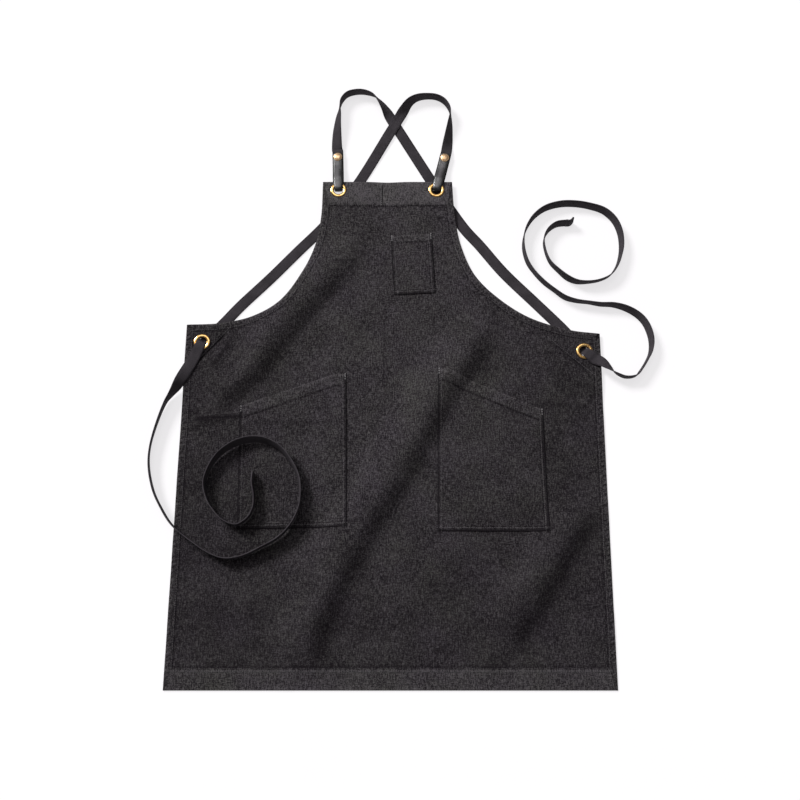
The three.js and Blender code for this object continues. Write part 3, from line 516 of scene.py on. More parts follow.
def fresh_material(name):
    material = bpy.data.materials.new(name)
    material.use_nodes = True
    return material, material.node_tree


def paint(material, **values):
    """Gives the shader's own sockets their values."""
    shader = material.node_tree.nodes["Principled BSDF"]
    for key, value in values.items():
        give(shader.inputs[key.replace("_", " ")], value)
    return material


def bump(height, distance, strength=1.0, **under):
    return add(
        height.tree, "ShaderNodeBump", Height=height, Distance=distance, Strength=strength, **under
    )[0]


def grey(red, green, blue):
    """A colour given as it looks on a screen, from 0 to 255."""
    return tuple(
        (c / 255 / 12.92) if c / 255 <= 0.04045 else ((c / 255 + 0.055) / 1.055) ** 2.4
        for c in (red, green, blue)
    ) + (1.0,)


def make_denim(name, dark, light, faded):
    material, tree = fresh_material(name)
    spot = object_millimetres(tree)
    yarn_height, yarn_tone = use_group("yarns", spot, 1.15, 5.0)
    cloud, fleck = use_group("mottle", spot, 55.0, 2.0)
    hue, _ = use_group("mottle", spot, 90.0, 6.0)
    share, run = map_millimetres(tree, "hem")
    # The finish map holds wear and painted shade, and how much the hems pucker
    wear_and_shade, pucker_amount = map_millimetres(tree, "finish")
    pucker = use_group("hem", share, run, 8.0, pucker_amount)[0]
    tone = yarn_tone.spread(0.41, 0.6) * 0.5 + fleck.spread(0.37, 0.63) * 0.5
    tone = tone.power(1.5) * (wear_and_shade * 0.38 + 1.0)
    tone = tone + cloud.spread(0.3, 0.7, -0.1, 0.1) + wear_and_shade * 0.095
    # The pucker's height is also painted into the colour: painted light on its ridges and painted
    # shade in the stitch groove
    tone = (tone + yarn_height * 0.1 + pucker * 0.18).spread(0.0, 1.2, 0.0, 1.2)
    weave = bump(yarn_height, 0.00011)
    slubs = bump(tone, 0.0005, 0.8, Normal=weave)
    return paint(
        material,
        Base_Color=mixed(tone, dark, mixed(hue.spread(0.35, 0.8), light, faded)),
        Roughness=fleck.spread(0.2, 0.8, 0.82, 0.98),
        Specular_IOR_Level=0.06,
        Normal=bump(pucker, 0.0006, Normal=slubs),
    )


WEBBING_RIB = 1.25
WEBBING_PICK = 0.9


def make_webbing(name, dark, light):
    """A chevron weave with a ribbed face and a paler rim along each edge."""
    material, tree = fresh_material(name)
    across, along = map_millimetres(tree, "weave")
    flat = add(tree, "ShaderNodeCombineXYZ", None, across, along)[0]
    folded = across.absolute()
    rib = (across * (TURN / WEBBING_RIB)).sine()
    pick = ((folded + along) * (TURN / WEBBING_PICK)).sine()
    height = rib + pick * 0.6
    cloud, fleck = use_group("mottle", flat, 26.0, 0.9)
    fleck = fleck.spread(0.25, 0.75)
    tone = fleck * 0.6 + cloud.spread(0.3, 0.7, -0.15, 0.15) + (height * 0.1 + 0.15)
    tone = tone + (folded.spread(7.0, 8.6, 0.1, -0.12) + folded.spread(8.9, 9.3, 0.0, 0.4))
    return paint(
        material,
        Base_Color=mixed(tone.spread(0.0, 1.2, 0.0, 1.2), dark, light),
        Roughness=fleck.spread(0.0, 1.0, 0.62, 0.8),
        Specular_IOR_Level=0.03,
        Normal=bump(height, 0.00014),
    )


# Where along the strip the tab's front leaf bends down to the eyelet, where shade is painted,
# and the place across it of the painted highlight, set off the middle towards the tab's left
TAB_BEND = 76.0
TAB_PAINTED_HIGHLIGHT = 1.6


def make_leather(name, dark, light):
    material, tree = fresh_material(name)
    spot = object_millimetres(tree)
    grain = add(tree, "ShaderNodeTexVoronoi", Vector=spot, Scale=0.95, Randomness=1.0)[0]
    pore = grain.spread(0.05, 0.55)
    clouds, _ = use_group("mottle", spot, 14.0, 0.8)
    cloud = clouds.spread(0.25, 0.75)
    across, along = map_millimetres(tree, "weave")
    off_middle = across.absolute()
    off_painted_highlight = (across - TAB_PAINTED_HIGHLIGHT).absolute()
    from_bend = (along - TAB_BEND).absolute()
    tone = pore * 0.25 + cloud * 0.75 + 0.25
    # Painted highlight along a line left of the middle, fading darker to the edges, and painted
    # shade where the front leaf bends down into the eyelet
    tone = tone - off_painted_highlight.spread(1.0, 8.0) - from_bend.spread(9.0, 4.0)
    return paint(
        material,
        Base_Color=mixed(tone.spread(0.0, 1.2, 0.0, 1.2), dark, light),
        Roughness=cloud.spread(0.0, 1.0, 0.24, 0.38) + off_middle.spread(7.0, 9.0, 0.0, 0.5),
        Specular_IOR_Level=off_middle.spread(7.0, 8.6, 0.65, 0.02),
        Normal=bump(clouds, 0.0006, 0.7, Normal=bump(pore, 0.00008)),
    )


def make_metal(name, colour, tarnish, painted_edge_shade, smooth, rough):
    """Brass that is duller in patches, with painted shade and a painted reflection of the dark
    cloth in a darker colour at its edges.
    """
    material, tree = fresh_material(name)
    cloud, fleck = use_group("mottle", object_millimetres(tree), 5.0, 0.5)
    dull = cloud.spread(0.4, 0.75)
    edge, _ = map_millimetres(tree, "edge")
    return paint(
        material,
        Base_Color=mixed(edge, mixed(dull, colour, tarnish), painted_edge_shade),
        Roughness=dull.spread(0.0, 1.0, smooth, rough) + edge * 0.4,
        Metallic=1.0,
        Normal=bump(fleck, 0.00003),
    )


def make_thread(name, colour, light):
    material, tree = fresh_material(name)
    _, fleck = use_group("mottle", object_millimetres(tree), 6.0, 0.4)
    return paint(material, Base_Color=mixed(fleck, colour, light), Roughness=0.7)


def make_paper():
    material, tree = fresh_material("paper")
    cloud, _ = use_group("mottle", object_millimetres(tree), 400.0, 1.0)
    return paint(
        material,
        Base_Color=mixed(cloud, (0.25, 0.246, 0.25, 1), (0.27, 0.265, 0.27, 1)),
        Roughness=0.9,
        Emission_Color=(1.0, 0.985, 1.0, 1),
        Emission_Strength=0.72,
    )


# Shape of the cloth
def line_distance(points, x, y):
    """Distance to a line of points, the place along it as a share, and the side of it."""
    nearest = np.full(x.shape, np.inf)
    share = np.zeros(x.shape)
    side = np.zeros(x.shape)
    spans = len(points) - 1
    for i in range(spans):
        (ax, ay), (bx, by) = points[i], points[i + 1]
        dx, dy = bx - ax, by - ay
        t = np.clip(((x - ax) * dx + (y - ay) * dy) / (dx * dx + dy * dy), 0, 1)
        distance = np.hypot(x - ax - t * dx, y - ay - t * dy)
        closer = distance < nearest
        nearest = np.where(closer, distance, nearest)
        share = np.where(closer, (i + t) / spans, share)
        side = np.where(closer, dx * (y - ay) - dy * (x - ax), side)
    return nearest, share, side


def bell(value, middle, width):
    """One at a middle, falling to nothing on both sides of it."""
    return np.exp(-(((value - middle) / width) ** 2))


def step_down(value, start, reach):
    """One up to a start, and nothing from a reach beyond it."""
    return 1 - smooth_step((value - start) / reach)


def fold_height(height, reach, start, crest, x, y):
    """A fold's height, and how deep in the hollow on its steep side a place lies, where shade is
    painted.
    """
    points = [(px * SKIRT_WIDTH, py * APRON_LENGTH) for px, py in crest]
    nearest, share, side = line_distance(points, x, y)
    width = reach * SKIRT_WIDTH * np.where(side < 0, FOLD_GENTLE_SIDE, 1)
    profile = np.clip(1 - (nearest / width) ** 2, 0, 1) ** 2
    fade = smooth_step(share / start) * smooth_step((1 - share) / FOLD_END + FOLD_TAIL)
    hollow = bell(nearest / width, 0.7, 0.4) * (side > 0) * fade
    return height * SKIRT_WIDTH * profile * fade, hollow


def creases_at(x, y):
    """Each crease's depth and width, how far off it is, and how it fades at its ends."""
    for depth, width, points in CREASES:
        nearest, share, _ = line_distance(points, x, y)
        yield depth, width, nearest, smooth_step(share * 4) * smooth_step((1 - share) * 4)


def crease_height(x, y):
    total = np.zeros(x.shape)
    for depth, width, nearest, ends in creases_at(x, y):
        total += depth * bell(nearest, 0, width) * ends
    return total


def cloth_noise(x, y, size, seed):
    flat = np.stack([x.ravel() / size, y.ravel() / size, np.full(x.size, seed)], axis=1)
    return np.array([noise.noise(Vector(p)) for p in flat]).reshape(x.shape)


STRAP_ZONE = (0.55, 0.61)
LEVEL_RADIUS = 50
LEVEL_FADE = 105


def cloth_top(x, y):
    """Height of the panel's upper face, and how free the cloth is to fold there."""
    x = np.asarray(x, float)
    y = np.asarray(y, float)
    zone = (y / APRON_LENGTH - STRAP_ZONE[0]) / (STRAP_ZONE[1] - STRAP_ZONE[0])
    level = CLOTH_ON_FLOOR + (CLOTH_OVER_STRAP - CLOTH_ON_FLOOR) * smooth_step(zone)
    loose = np.ones(x.shape)
    for (ex, ey), top, _ in EYELETS.values():
        distance = np.hypot(x - ex, y - ey)
        hold = step_down(distance, LEVEL_RADIUS, LEVEL_FADE - LEVEL_RADIUS)
        level = np.maximum(level, level + (top - level) * hold)
        loose = loose * (1 - hold)
    rise = np.zeros(x.shape)
    for fold in FOLDS:
        rise = np.maximum(rise, fold_height(*fold, x, y)[0])
    return level + rise * loose, loose


# The cloth's small waves: height, size and seed. They grow from the bottom hem up, and
# a share of them stays where the cloth is held down.
WAVES = [(1.5, 74, 3.0), (0.4, 24, 8.0)]
WAVES_GROW = 40
WAVES_HELD = 0.25


def ruffle(x, y, loose):
    """Creases and small unevenness that lie on top of the large folds."""
    edge = smooth_step((y - BOTTOM_HEM) / WAVES_GROW)
    waves = sum(height * cloth_noise(x, y, size, seed) for height, size, seed in WAVES)
    return (crease_height(x, y) + waves * np.maximum(loose, WAVES_HELD)) * edge


def panel_face(x, y):
    top, loose = cloth_top(x, y)
    return top + ruffle(x, y, loose)


# A broad tone over the body: lightest around a middle at the chest, darker towards the skirt's
# edges, lighter again over the bib
TONE_CENTRE = (-10, 620)
TONE_REACH = (300, 530)
TONE_BIB = 0.14
TONE_BIB_FROM = 690
TONE_BIB_OVER = 60
TONE_LEVEL = 0.05
TONE_LOSS = 0.6
TONE_FLAT = 0.25
# Painted shade in the hollows on the folds' steep sides, and along the narrow creases, the pen
# slot's line and the corner seams
HOLLOW_SHADE = 0.45
CREASE_SHADE = 0.4
SHARP_CREASE = 10
SHARP_LINE = 3


def body_tone_and_shade(x, y):
    """How light the cloth is painted: lightest at the chest and darker towards the skirt's edges,
    with painted shade in the fold hollows and along narrow creases.
    """
    away_x = (x - TONE_CENTRE[0]) / TONE_REACH[0]
    away_y = (y - TONE_CENTRE[1]) / TONE_REACH[1]
    wear_and_shade = TONE_LEVEL - TONE_LOSS * smooth_step(np.hypot(away_x, away_y) - TONE_FLAT)
    wear_and_shade += TONE_BIB * smooth_step((y - TONE_BIB_FROM) / TONE_BIB_OVER)
    # Painted shade in each fold's hollow
    for fold in FOLDS:
        wear_and_shade -= HOLLOW_SHADE * fold_height(*fold, x, y)[1]
    # Painted shade along each narrow crease
    for depth, width, nearest, ends in creases_at(x, y):
        if width < SHARP_CREASE:
            line = bell(nearest, 0, min(SHARP_LINE, width))
            wear_and_shade -= CREASE_SHADE * abs(depth) * line * ends
    return wear_and_shade


# How light a hem is worn, and how much shade is painted on the cloth beside it: for a
# pocket's sides, the panel's sides, a pocket's opening, the bottom and, last, the top
HEM_LIGHT = ([0.3, 0.3, 0.4, 0.85], 1.5)
HEM_SHADE = ([0.1, 0.2, 0.7, 0.1], 0.4)
EDGE_LIGHT = 1.2
# POCKET_EDGE_SHADE is a painted shadow line along a pocket's side edges
POCKET_EDGE_SHADE = 2.1
STITCHED_LIGHT = 0.45
NARROW = 0.5


def hem_wear_and_shade(depth, hem):
    """Edges and hems rub light, and painted shade darkens the cloth beside their stitches and just
    inside a pocket's sides.
    """
    pocket_side = hem <= POCKET_SIDE_HEM + NARROW
    narrow = hem <= SIDE_HEM + NARROW
    past = depth - hem
    kinds = [pocket_side, narrow, hem < BOTTOM_HEM - 1, hem < BOTTOM_HEM + 1]
    light = np.where(narrow, step_down(depth, 5, 3), step_down(past, -0.8, 1.4))
    wear_and_shade = np.select(kinds, *HEM_LIGHT) * light
    wear_and_shade += STITCHED_LIGHT * (np.abs(hem - BOTTOM_HEM) < 1) * bell(past, -4.5, 2.5)
    # Painted shadow line along a pocket's sides; other edges rub light
    wear_and_shade += np.where(
        pocket_side, -POCKET_EDGE_SHADE * bell(depth, 0.8, 1.7), EDGE_LIGHT * bell(depth, 0, 1.8)
    )
    # Painted shade on the cloth just past each hem's stitches
    return wear_and_shade - np.select(kinds, *HEM_SHADE) * bell(past, 1.2, 1.4)


def curve_points(knots, steps):
    """A centripetal curve through knots, with steps points to each span."""
    knots = np.asarray(knots, float)
    ends = np.vstack([2 * knots[0] - knots[1], knots, 2 * knots[-1] - knots[-2]])
    shares = (np.arange(steps) / steps)[:, None]
    pieces = []
    for i in range(len(knots) - 1):
        a, b, c, d = ends[i : i + 4]
        first, second, third = (
            max(float(np.sum((q - p) ** 2)) ** 0.25, 1e-3) for p, q in ((a, b), (b, c), (c, d))
        )
        start = ((b - a) / first - (c - a) / (first + second) + (c - b) / second) * second
        stop = ((c - b) / second - (d - b) / (second + third) + (d - c) / third) * second
        square = 3 * (c - b) - 2 * start - stop
        cube = 2 * (b - c) + start + stop
        pieces.append(b + start * shares + square * shares**2 + cube * shares**3)
    pieces.append(knots[-1:])
    return np.vstack(pieces)


def evenly(points, gap):
    """The same line, with its points a gap apart."""
    points = np.asarray(points, float)
    lengths = np.hypot(*np.diff(points[:, :2], axis=0).T)
    run = np.concatenate([[0], np.cumsum(lengths)])
    count = max(2, int(round(run[-1] / gap)) + 1)
    at = np.linspace(0, run[-1], count)
    return np.stack([np.interp(at, run, points[:, k]) for k in range(points.shape[1])], axis=1)


ARMHOLE_STEPS = 12


def armhole(rows, bib_x, corner):
    knots = [
        (bib_x + across * (corner[0] - bib_x), corner[1] + up * (APRON_LENGTH - corner[1]))
        for across, up in rows
    ]
    return curve_points(knots, ARMHOLE_STEPS)


def turned(points, pivot, degrees):
    angle = math.radians(degrees)
    away = np.asarray(points, float) - pivot
    c, s = math.cos(angle), math.sin(angle)
    return np.stack([away[:, 0] * c - away[:, 1] * s, away[:, 0] * s + away[:, 1] * c], 1) + pivot


# Each cut is a list of edges, counterclockwise: the edge's line and its hem's depth.
def panel_edges():
    right = armhole(ARMHOLE_RIGHT, bib_right_x, corner_right)[::-1]
    left = armhole(ARMHOLE_LEFT, bib_left_x, corner_left)
    half = SKIRT_WIDTH / 2
    return [
        ([(-half, 0), (half, 0)], BOTTOM_HEM),
        ([(half, 0), tuple(corner_right)], SIDE_HEM),
        (right, SIDE_HEM),
        ([right[-1], left[0]], TOP_HEM),
        (left, SIDE_HEM),
        ([tuple(corner_left), (-half, 0)], SIDE_HEM),
    ]


def polygon_edges(points, hems):
    count = len(points)
    return [([points[i], points[(i + 1) % count]], hems[i]) for i in range(count)]


def bib_pocket_points():
    middle = BIB_SHIFT + BIB_POCKET_OFFSET
    top = APRON_LENGTH - BIB_POCKET_DROP
    half = BIB_POCKET_WIDTH / 2
    corners = [
        (middle - half, top - BIB_POCKET_HEIGHT),
        (middle + half, top - BIB_POCKET_HEIGHT),
        (middle + half, top),
        (middle - half, top),
    ]
    return turned(corners, (middle, top - BIB_POCKET_HEIGHT / 2), BIB_POCKET_TURN)


def hip_pocket_points(side, degrees):
    inner = HIP_POCKET_SHIFT + side * HIP_POCKET_SPACING / 2
    outer = inner + side * HIP_POCKET_WIDTH
    corners = [
        (inner, HIP_POCKET_RISE),
        (outer, HIP_POCKET_RISE),
        (outer, HIP_POCKET_RISE + HIP_POCKET_OUTER),
        (inner + side * HIP_POCKET_FLAT, HIP_POCKET_RISE + HIP_POCKET_INNER),
        (inner, HIP_POCKET_RISE + HIP_POCKET_INNER),
    ]
    corners = turned(corners, (inner, HIP_POCKET_RISE), degrees)
    return corners + (HIP_POCKET_PULL_RIGHT if side > 0 else HIP_POCKET_PULL_LEFT)


def inside(polygon, x, y):
    hit = np.zeros(x.shape, bool)
    for (ax, ay), (bx, by) in zip(polygon, np.roll(polygon, -1, axis=0)):
        if ay == by:
            continue
        crosses = ((ay > y) != (by > y)) & (x < (bx - ax) * (y - ay) / (by - ay) + ax)
        hit ^= crosses
    return hit


def hem_field(edges, x, y):
    """The nearest edge: depth as a share of its hem and in millimetres, its hem, the run."""
    share = np.full(x.shape, 9.0)
    depth = np.full(x.shape, 999.0)
    run = np.zeros(x.shape)
    for line, hem in edges:
        line = np.asarray(line, float)
        length = float(np.sum(np.hypot(*np.diff(line, axis=0).T)))
        distance, along, _ = line_distance(line, x, y)
        closer = distance / hem < share
        share = np.where(closer, distance / hem, share)
        depth = np.where(closer, distance, depth)
        run = np.where(closer, along * length, run)
    return share, depth, depth / np.maximum(share, 1e-6), run


def within(loops, spots):
    """Inside the first loop and outside the others."""
    keep = inside(loops[0], *spots.T)
    for hole in loops[1:]:
        keep &= ~inside(hole, *spots.T)
    return keep


def triangulate(outline, holes, rows, step):
    """Points and triangles over a cut: its edge, rows beside it, and an even grid."""
    loops = [outline, *holes]
    count = 0
    bounds = []
    for loop in loops:
        bounds += [(count + i, count + (i + 1) % len(loop)) for i in range(len(loop))]
        count += len(loop)
    low, high = outline.min(0), outline.max(0)
    gx, gy = np.meshgrid(np.arange(low[0], high[0], step), np.arange(low[1], high[1], step))
    grid = np.stack([gx.ravel(), gy.ravel()], 1)
    near = np.concatenate([*loops, rows])
    cell = step * 0.55
    taken = {}
    for px, py in near:
        taken.setdefault((int(px // step), int(py // step)), []).append((px, py))
    kept = []
    for px, py in grid[within(loops, grid)]:
        cx, cy = int(px // step), int(py // step)
        if all(
            abs(px - qx) > cell or abs(py - qy) > cell
            for i in (-1, 0, 1)
            for j in (-1, 0, 1)
            for qx, qy in taken.get((cx + i, cy + j), ())
        ):
            kept.append((px, py))
    points = np.concatenate([near, np.array(kept).reshape(-1, 2)])
    spots, _, faces, *_ = delaunay_2d_cdt([Vector(p) for p in points], bounds, [], 0, 1e-5)
    spots = np.array([(p.x, p.y) for p in spots])
    faces = np.array([f for f in faces if len(f) == 3])
    faces = faces[within(loops, spots[faces].mean(1))]
    a, b, c = spots[faces].transpose(1, 0, 2)
    turn = (b[:, 0] - a[:, 0]) * (c[:, 1] - a[:, 1]) - (b[:, 1] - a[:, 1]) * (c[:, 0] - a[:, 0])
    faces[turn < 0] = faces[turn < 0][:, ::-1]
    used = np.unique(faces)
    fresh = np.full(len(spots), -1)
    fresh[used] = np.arange(len(used))
    return spots[used], fresh[faces]


def rim_edges(faces):
    """Edges that only one triangle has, in that triangle's direction."""
    seen = {}
    for a, b, c in faces:
        for edge in ((a, b), (b, c), (c, a)):
            seen[edge] = seen.get(edge, 0) + 1
    return [edge for edge in seen if (edge[1], edge[0]) not in seen]


def link(name, data):
    """A new object in the scene."""
    made = bpy.data.objects.new(name, data)
    bpy.context.collection.objects.link(made)
    return made


def mesh_object(name, points, faces, material):
    mesh = bpy.data.meshes.new(name)
    mesh.from_pydata(place(points).tolist(), [], [list(map(int, f)) for f in faces])
    mesh.materials.append(material)
    mesh.update()
    mesh.shade_smooth()
    return link(name, mesh)


def set_map(piece, layer, first, second):
    """Writes a map from two values for each vertex."""
    mesh = piece.data
    corners = np.zeros(len(mesh.loops), np.int64)
    mesh.loops.foreach_get("vertex_index", corners)
    pairs = np.stack([first[corners], second[corners]], 1).astype(np.float32)
    mesh.uv_layers.new(name=layer).data.foreach_set("uv", pairs.ravel())


def dense_outline(edges, gap):
    return np.concatenate([evenly(points, gap)[:-1] for points, _ in edges])


def unit(vectors):
    return vectors / np.linalg.norm(vectors, axis=-1, keepdims=True)


def moved_in(line, distance):
    """A line of points moved in from its edge by a distance."""
    way = unit(np.gradient(line, axis=0))
    return line + np.stack([-way[:, 1], way[:, 0]], 1) * distance


def inset_rows(edges, depths, gap):
    """Points beside each edge, at depths that are a share of its hem plus millimetres."""
    found = np.concatenate([
        moved_in(evenly(points, gap), part * hem + extra)
        for points, hem in edges
        for part, extra in depths
    ])
    _, depth, hem, _ = hem_field(edges, *found.T)
    wanted = np.zeros(len(found), bool)
    for part, extra in depths:
        wanted |= np.abs(depth - part * hem - extra) < 0.1
    return found[wanted & inside(dense_outline(edges, gap), *found.T)]


def circle(x, y, radius, count):
    turn = np.arange(count) / count * TURN
    return np.stack([x + radius * np.cos(turn), y + radius * np.sin(turn)], 1)


NO_ROWS = np.zeros((0, 2))


def cloth_piece(
    name, edges, material, top_of, bottom_of, step, depths, holes=(), puckers=0.15, extra=NO_ROWS
):
    """A cut of cloth: its upper and lower faces, the wall between, and its two maps."""
    rows = inset_rows(edges, depths, step) if depths else NO_ROWS
    spots, faces = triangulate(
        dense_outline(edges, step), holes, np.concatenate([rows, extra]), step
    )
    x, y = spots.T
    share, depth, hem, run = hem_field(edges, x, y)
    top = top_of(x, y, depth, hem)
    sheets = [np.column_stack([spots, z]) for z in (top, bottom_of(share, top))]
    count = len(spots)
    walls = []
    for a, b in rim_edges(faces):
        walls += [(b, a, count + a), (b, count + a, count + b)]
    all_faces = np.concatenate([faces, faces[:, ::-1] + count, walls])
    piece = mesh_object(name, np.concatenate(sheets), all_faces, material)
    set_map(piece, "hem", np.tile(share, 2), np.tile(run, 2))
    wear_and_shade = body_tone_and_shade(x, y) + hem_wear_and_shade(depth, hem)
    amount = 0.1 + puckers * (hem <= SIDE_HEM + NARROW)
    # The finish map holds wear and painted shade, and how much the hems pucker
    set_map(piece, "finish", np.tile(wear_and_shade, 2), np.tile(amount, 2))
    return piece


OUTLINE_GAP = 12
PANEL_PUCKERS = 0.45
PANEL_GRID = 3.7
POCKET_GRID = 3.2
PATCH_GRID = 3.5
PATCH_CLOTH = 0.9
CLOTH_HOLE = EYELET_BORE / 2 + EYELET_WALL + CLEARANCE
HEM_STEP = 0.9
EDGE_ROUND = 0.45
EDGE_ROLL = 1.7
POCKET_HEM_STEP = 0.5
LOWEST_CLOTH = 0.02


def panel_top(x, y, depth, hem):
    """The edge rolls over, and the row of stitches pulls a groove."""
    past = depth - hem
    roll = -EDGE_ROUND * step_down(depth, 0, EDGE_ROLL)
    groove = -0.3 * bell(past, -1.6, 1.0)
    inner = -HEM_STEP * smooth_step((past + 0.6) / 1.6)
    return panel_face(x, y) + (roll + groove + inner)


def panel_bottom(share, top):
    turned_in = CLOTH_ON_FLOOR - 2 * EDGE_ROUND * step_down(share, 0, 0.1)
    thickness = CLOTH + (turned_in - CLOTH) * step_down(share, 0.97, 0.06)
    return np.maximum(top - thickness, LOWEST_CLOTH)


def pocket_top(x, y, depth, hem):
    past = depth - hem
    roll = -0.4 * step_down(depth, 0, EDGE_ROLL)
    stitched = -0.2 * bell(past, -1.0, 0.9)
    step = np.where(hem > POCKET_SIDE_HEM + NARROW, POCKET_HEM_STEP, 0.4 * POCKET_HEM_STEP)
    inner = -step * smooth_step((past + 0.4) / 1.4)
    return panel_face(x, y) - HEM_STEP + CLEARANCE + POCKET_CLOTH + roll + stitched + inner


def pocket_bottom(share, top):
    return top - POCKET_CLOTH + CLEARANCE


# Flat bands: webbing and leather
def edge_reach(width, thickness, lean):
    tilt = np.radians(lean)
    return width / 2 * np.abs(np.sin(tilt)) + thickness / 2 * np.abs(np.cos(tilt))


# The band's section, as shares of half its width and of half its thickness
BAND_SECTION = [
    (-0.93, -1), (-0.5, -1), (0, -1), (0.5, -1), (0.93, -1), (1, -0.45), (1, 0.45),
    (0.93, 1), (0.5, 1), (0, 1), (-0.5, 1), (-0.93, 1), (-1, 0.45), (-1, -0.45),
]


def run_along(points):
    """How far along a line each of its points lies."""
    steps = np.linalg.norm(np.diff(points, axis=0), axis=1)
    return np.concatenate([[0], np.cumsum(steps)])


BAND_STEPS = 8


def band_frames(stations, thickness, fixed_side=None):
    """Middles and directions along a band of stations: x, y, foot, width and lean."""
    rows = np.asarray(stations, float)
    middles = curve_points(rows[:, :3], BAND_STEPS)
    at = np.arange(len(middles)) / BAND_STEPS
    width = np.interp(at, np.arange(len(rows)), rows[:, 3])
    lean = np.interp(at, np.arange(len(rows)), rows[:, 4])
    half = BAND_STEPS // 2
    padded_lean = np.pad(lean, (half, BAND_STEPS - 1 - half), mode="edge")
    lean = np.convolve(padded_lean, np.ones(BAND_STEPS) / BAND_STEPS, mode="valid")
    middles[:, 2] = np.maximum(0, middles[:, 2]) + edge_reach(width, thickness, lean)
    way = unit(np.gradient(middles, axis=0))
    if fixed_side is None:
        side = unit(np.stack([way[:, 1], -way[:, 0], np.zeros(len(way))], 1))
    else:
        side = np.tile(np.asarray(fixed_side, float), (len(way), 1))
    up = unit(np.cross(side, way))
    tilt = np.radians(lean)[:, None]
    across = side * np.cos(tilt) + up * np.sin(tilt)
    through = up * np.cos(tilt) - side * np.sin(tilt)
    return middles, across, through, width


def band_piece(name, frames, thickness, material, crown=0.0):
    """thickness is a number, or one for each ring; a crown bows the band outwards."""
    middles, across, through, width = frames
    count, sides = len(middles), len(BAND_SECTION)
    thick = np.broadcast_to(thickness, count)
    points, over = [], []
    for u, v in BAND_SECTION:
        lift = v * thick / 2 + crown * (1 - u * u)
        points.append(middles + across * (u * width / 2)[:, None] + through * lift[:, None])
        over.append(u * width / 2)
    faces = []
    for i in range(count - 1):
        for k in range(sides):
            a, b = i * sides + k, i * sides + (k + 1) % sides
            faces.append((a, b, b + sides, a + sides))
    last = (count - 1) * sides
    faces += [tuple(range(sides))[::-1], tuple(range(last, last + sides))]
    piece = mesh_object(name, np.stack(points, 1).reshape(-1, 3), faces, material)
    turn_outwards(piece)
    set_map(piece, "weave", np.stack(over, 1).ravel(), np.repeat(run_along(middles), sides))
    return piece


def turn_outwards(piece):
    """Turns a closed mesh's faces outwards where its volume says they point inwards."""
    mesh = piece.data
    mesh.calc_loop_triangles()
    co = np.array([v.co for v in mesh.vertices])
    tri = np.array([t.vertices for t in mesh.loop_triangles])
    a, b, c = co[tri[:, 0]], co[tri[:, 1]], co[tri[:, 2]]
    if np.einsum("ij,ij->", a, np.cross(b, c)) < 0:
        mesh.flip_normals()


def tab_way(degrees):
    angle = math.radians(degrees)
    return np.array([-math.sin(angle), math.cos(angle)])


BACK_LEAF = STUD_THICKNESS + CLEARANCE
STRAP_IN_TAB = BACK_LEAF + TAB_THICKNESS + CLEARANCE
FRONT_LEAF = STRAP_IN_TAB + STRAP_THICKNESS + CLEARANCE
CAP_SEAT = FRONT_LEAF + TAB_THICKNESS + CLEARANCE
SNAPS = {
    "left": np.array(EYELETS["bib_left"][0]) + tab_way(TAB_TURN_LEFT) * TAB_LENGTH,
    "right": np.array(EYELETS["bib_right"][0]) + tab_way(TAB_TURN_RIGHT) * TAB_LENGTH,
}
OVER_BIB_EYELET = CLOTH_AT_BIB_EYELET + CLEARANCE + EYELET_DOME + CLEARANCE
TAB_LOWEST = UNDER_STRAP


def make_tab(side, eyelet, degrees, material):
    """A strip from its front end down through the eyelet and back behind itself."""
    flat = (TAB_LENGTH + TAB_END, TAB_LENGTH - TAB_END, TAB_LENGTH - 2 * TAB_END)
    climb = OVER_BIB_EYELET - TAB_LOWEST
    rows = [(distance, FRONT_LEAF, 0) for distance in flat]
    rows.append((TAB_LENGTH * 0.5, (FRONT_LEAF + OVER_BIB_EYELET) / 2, 0))
    rows.append((TAB_LENGTH * 0.34, OVER_BIB_EYELET, 0))
    rows += [(a * EYELET_BORE, TAB_LOWEST + r * climb, n) for a, r, n in TAB_THROUGH]
    rows.append((TAB_LENGTH * 0.5, TAB_LOWEST, 0))
    rows += [(distance, BACK_LEAF, 0) for distance in flat[::-1]]
    way = tab_way(degrees)
    stations = []
    for distance, foot, narrow in rows:
        x, y = np.array(eyelet) + way * distance
        stations.append((x, y, foot, TAB_WIDTH + narrow * (TAB_IN_EYELET - TAB_WIDTH), 0))
    frames = band_frames(stations, TAB_THICKNESS, (-way[1], way[0], 0))
    return band_piece(f"leather_tab_{side}", frames, TAB_THICKNESS, material, TAB_CROWN)


STEP_REACH = 16
STEP_LENGTH = 26


def step_up(outline, x, y):
    """One on a cut and beside it, and nothing farther from it."""
    outline = np.asarray(outline)
    distance, _, _ = line_distance(np.vstack([outline, outline[:1]]), x, y)
    distance = np.where(inside(outline, x, y), 0, distance)
    return step_down(distance, STEP_REACH, STEP_LENGTH)


def ground_under_tie(x, y):
    x = np.array([x], float)
    y = np.array([y], float)
    on_cloth = step_up(PANEL_OUTLINE, x, y)[0]
    if on_cloth == 0:
        return 0.0
    pockets = max(step_up(p, x, y)[0] for p in POCKET_OUTLINES.values())
    return (panel_face(x, y)[0] + CLEARANCE + (CLEARANCE + POCKET_CLOTH) * pockets) * on_cloth


def resting_foot(spot, heading, lean):
    tilt = math.radians(lean)
    reach = STRAP_WIDTH / 2 * math.cos(tilt)
    rise = STRAP_WIDTH / 2 * math.sin(tilt)
    foot = 0.0
    for share in (-1, 0, 1):
        x = spot[0] + heading[1] * reach * share
        y = spot[1] - heading[0] * reach * share
        foot = max(foot, ground_under_tie(x, y) - abs(rise) - rise * share)
    return foot


HOLD_AT_CROSSING = 1.05 * STRAP_WIDTH
STRAP_LEAVES_TAB = 1.5 * TAB_END
ON_EDGE_THICKER = 0.3
TIE_END_THICKER = 0.6


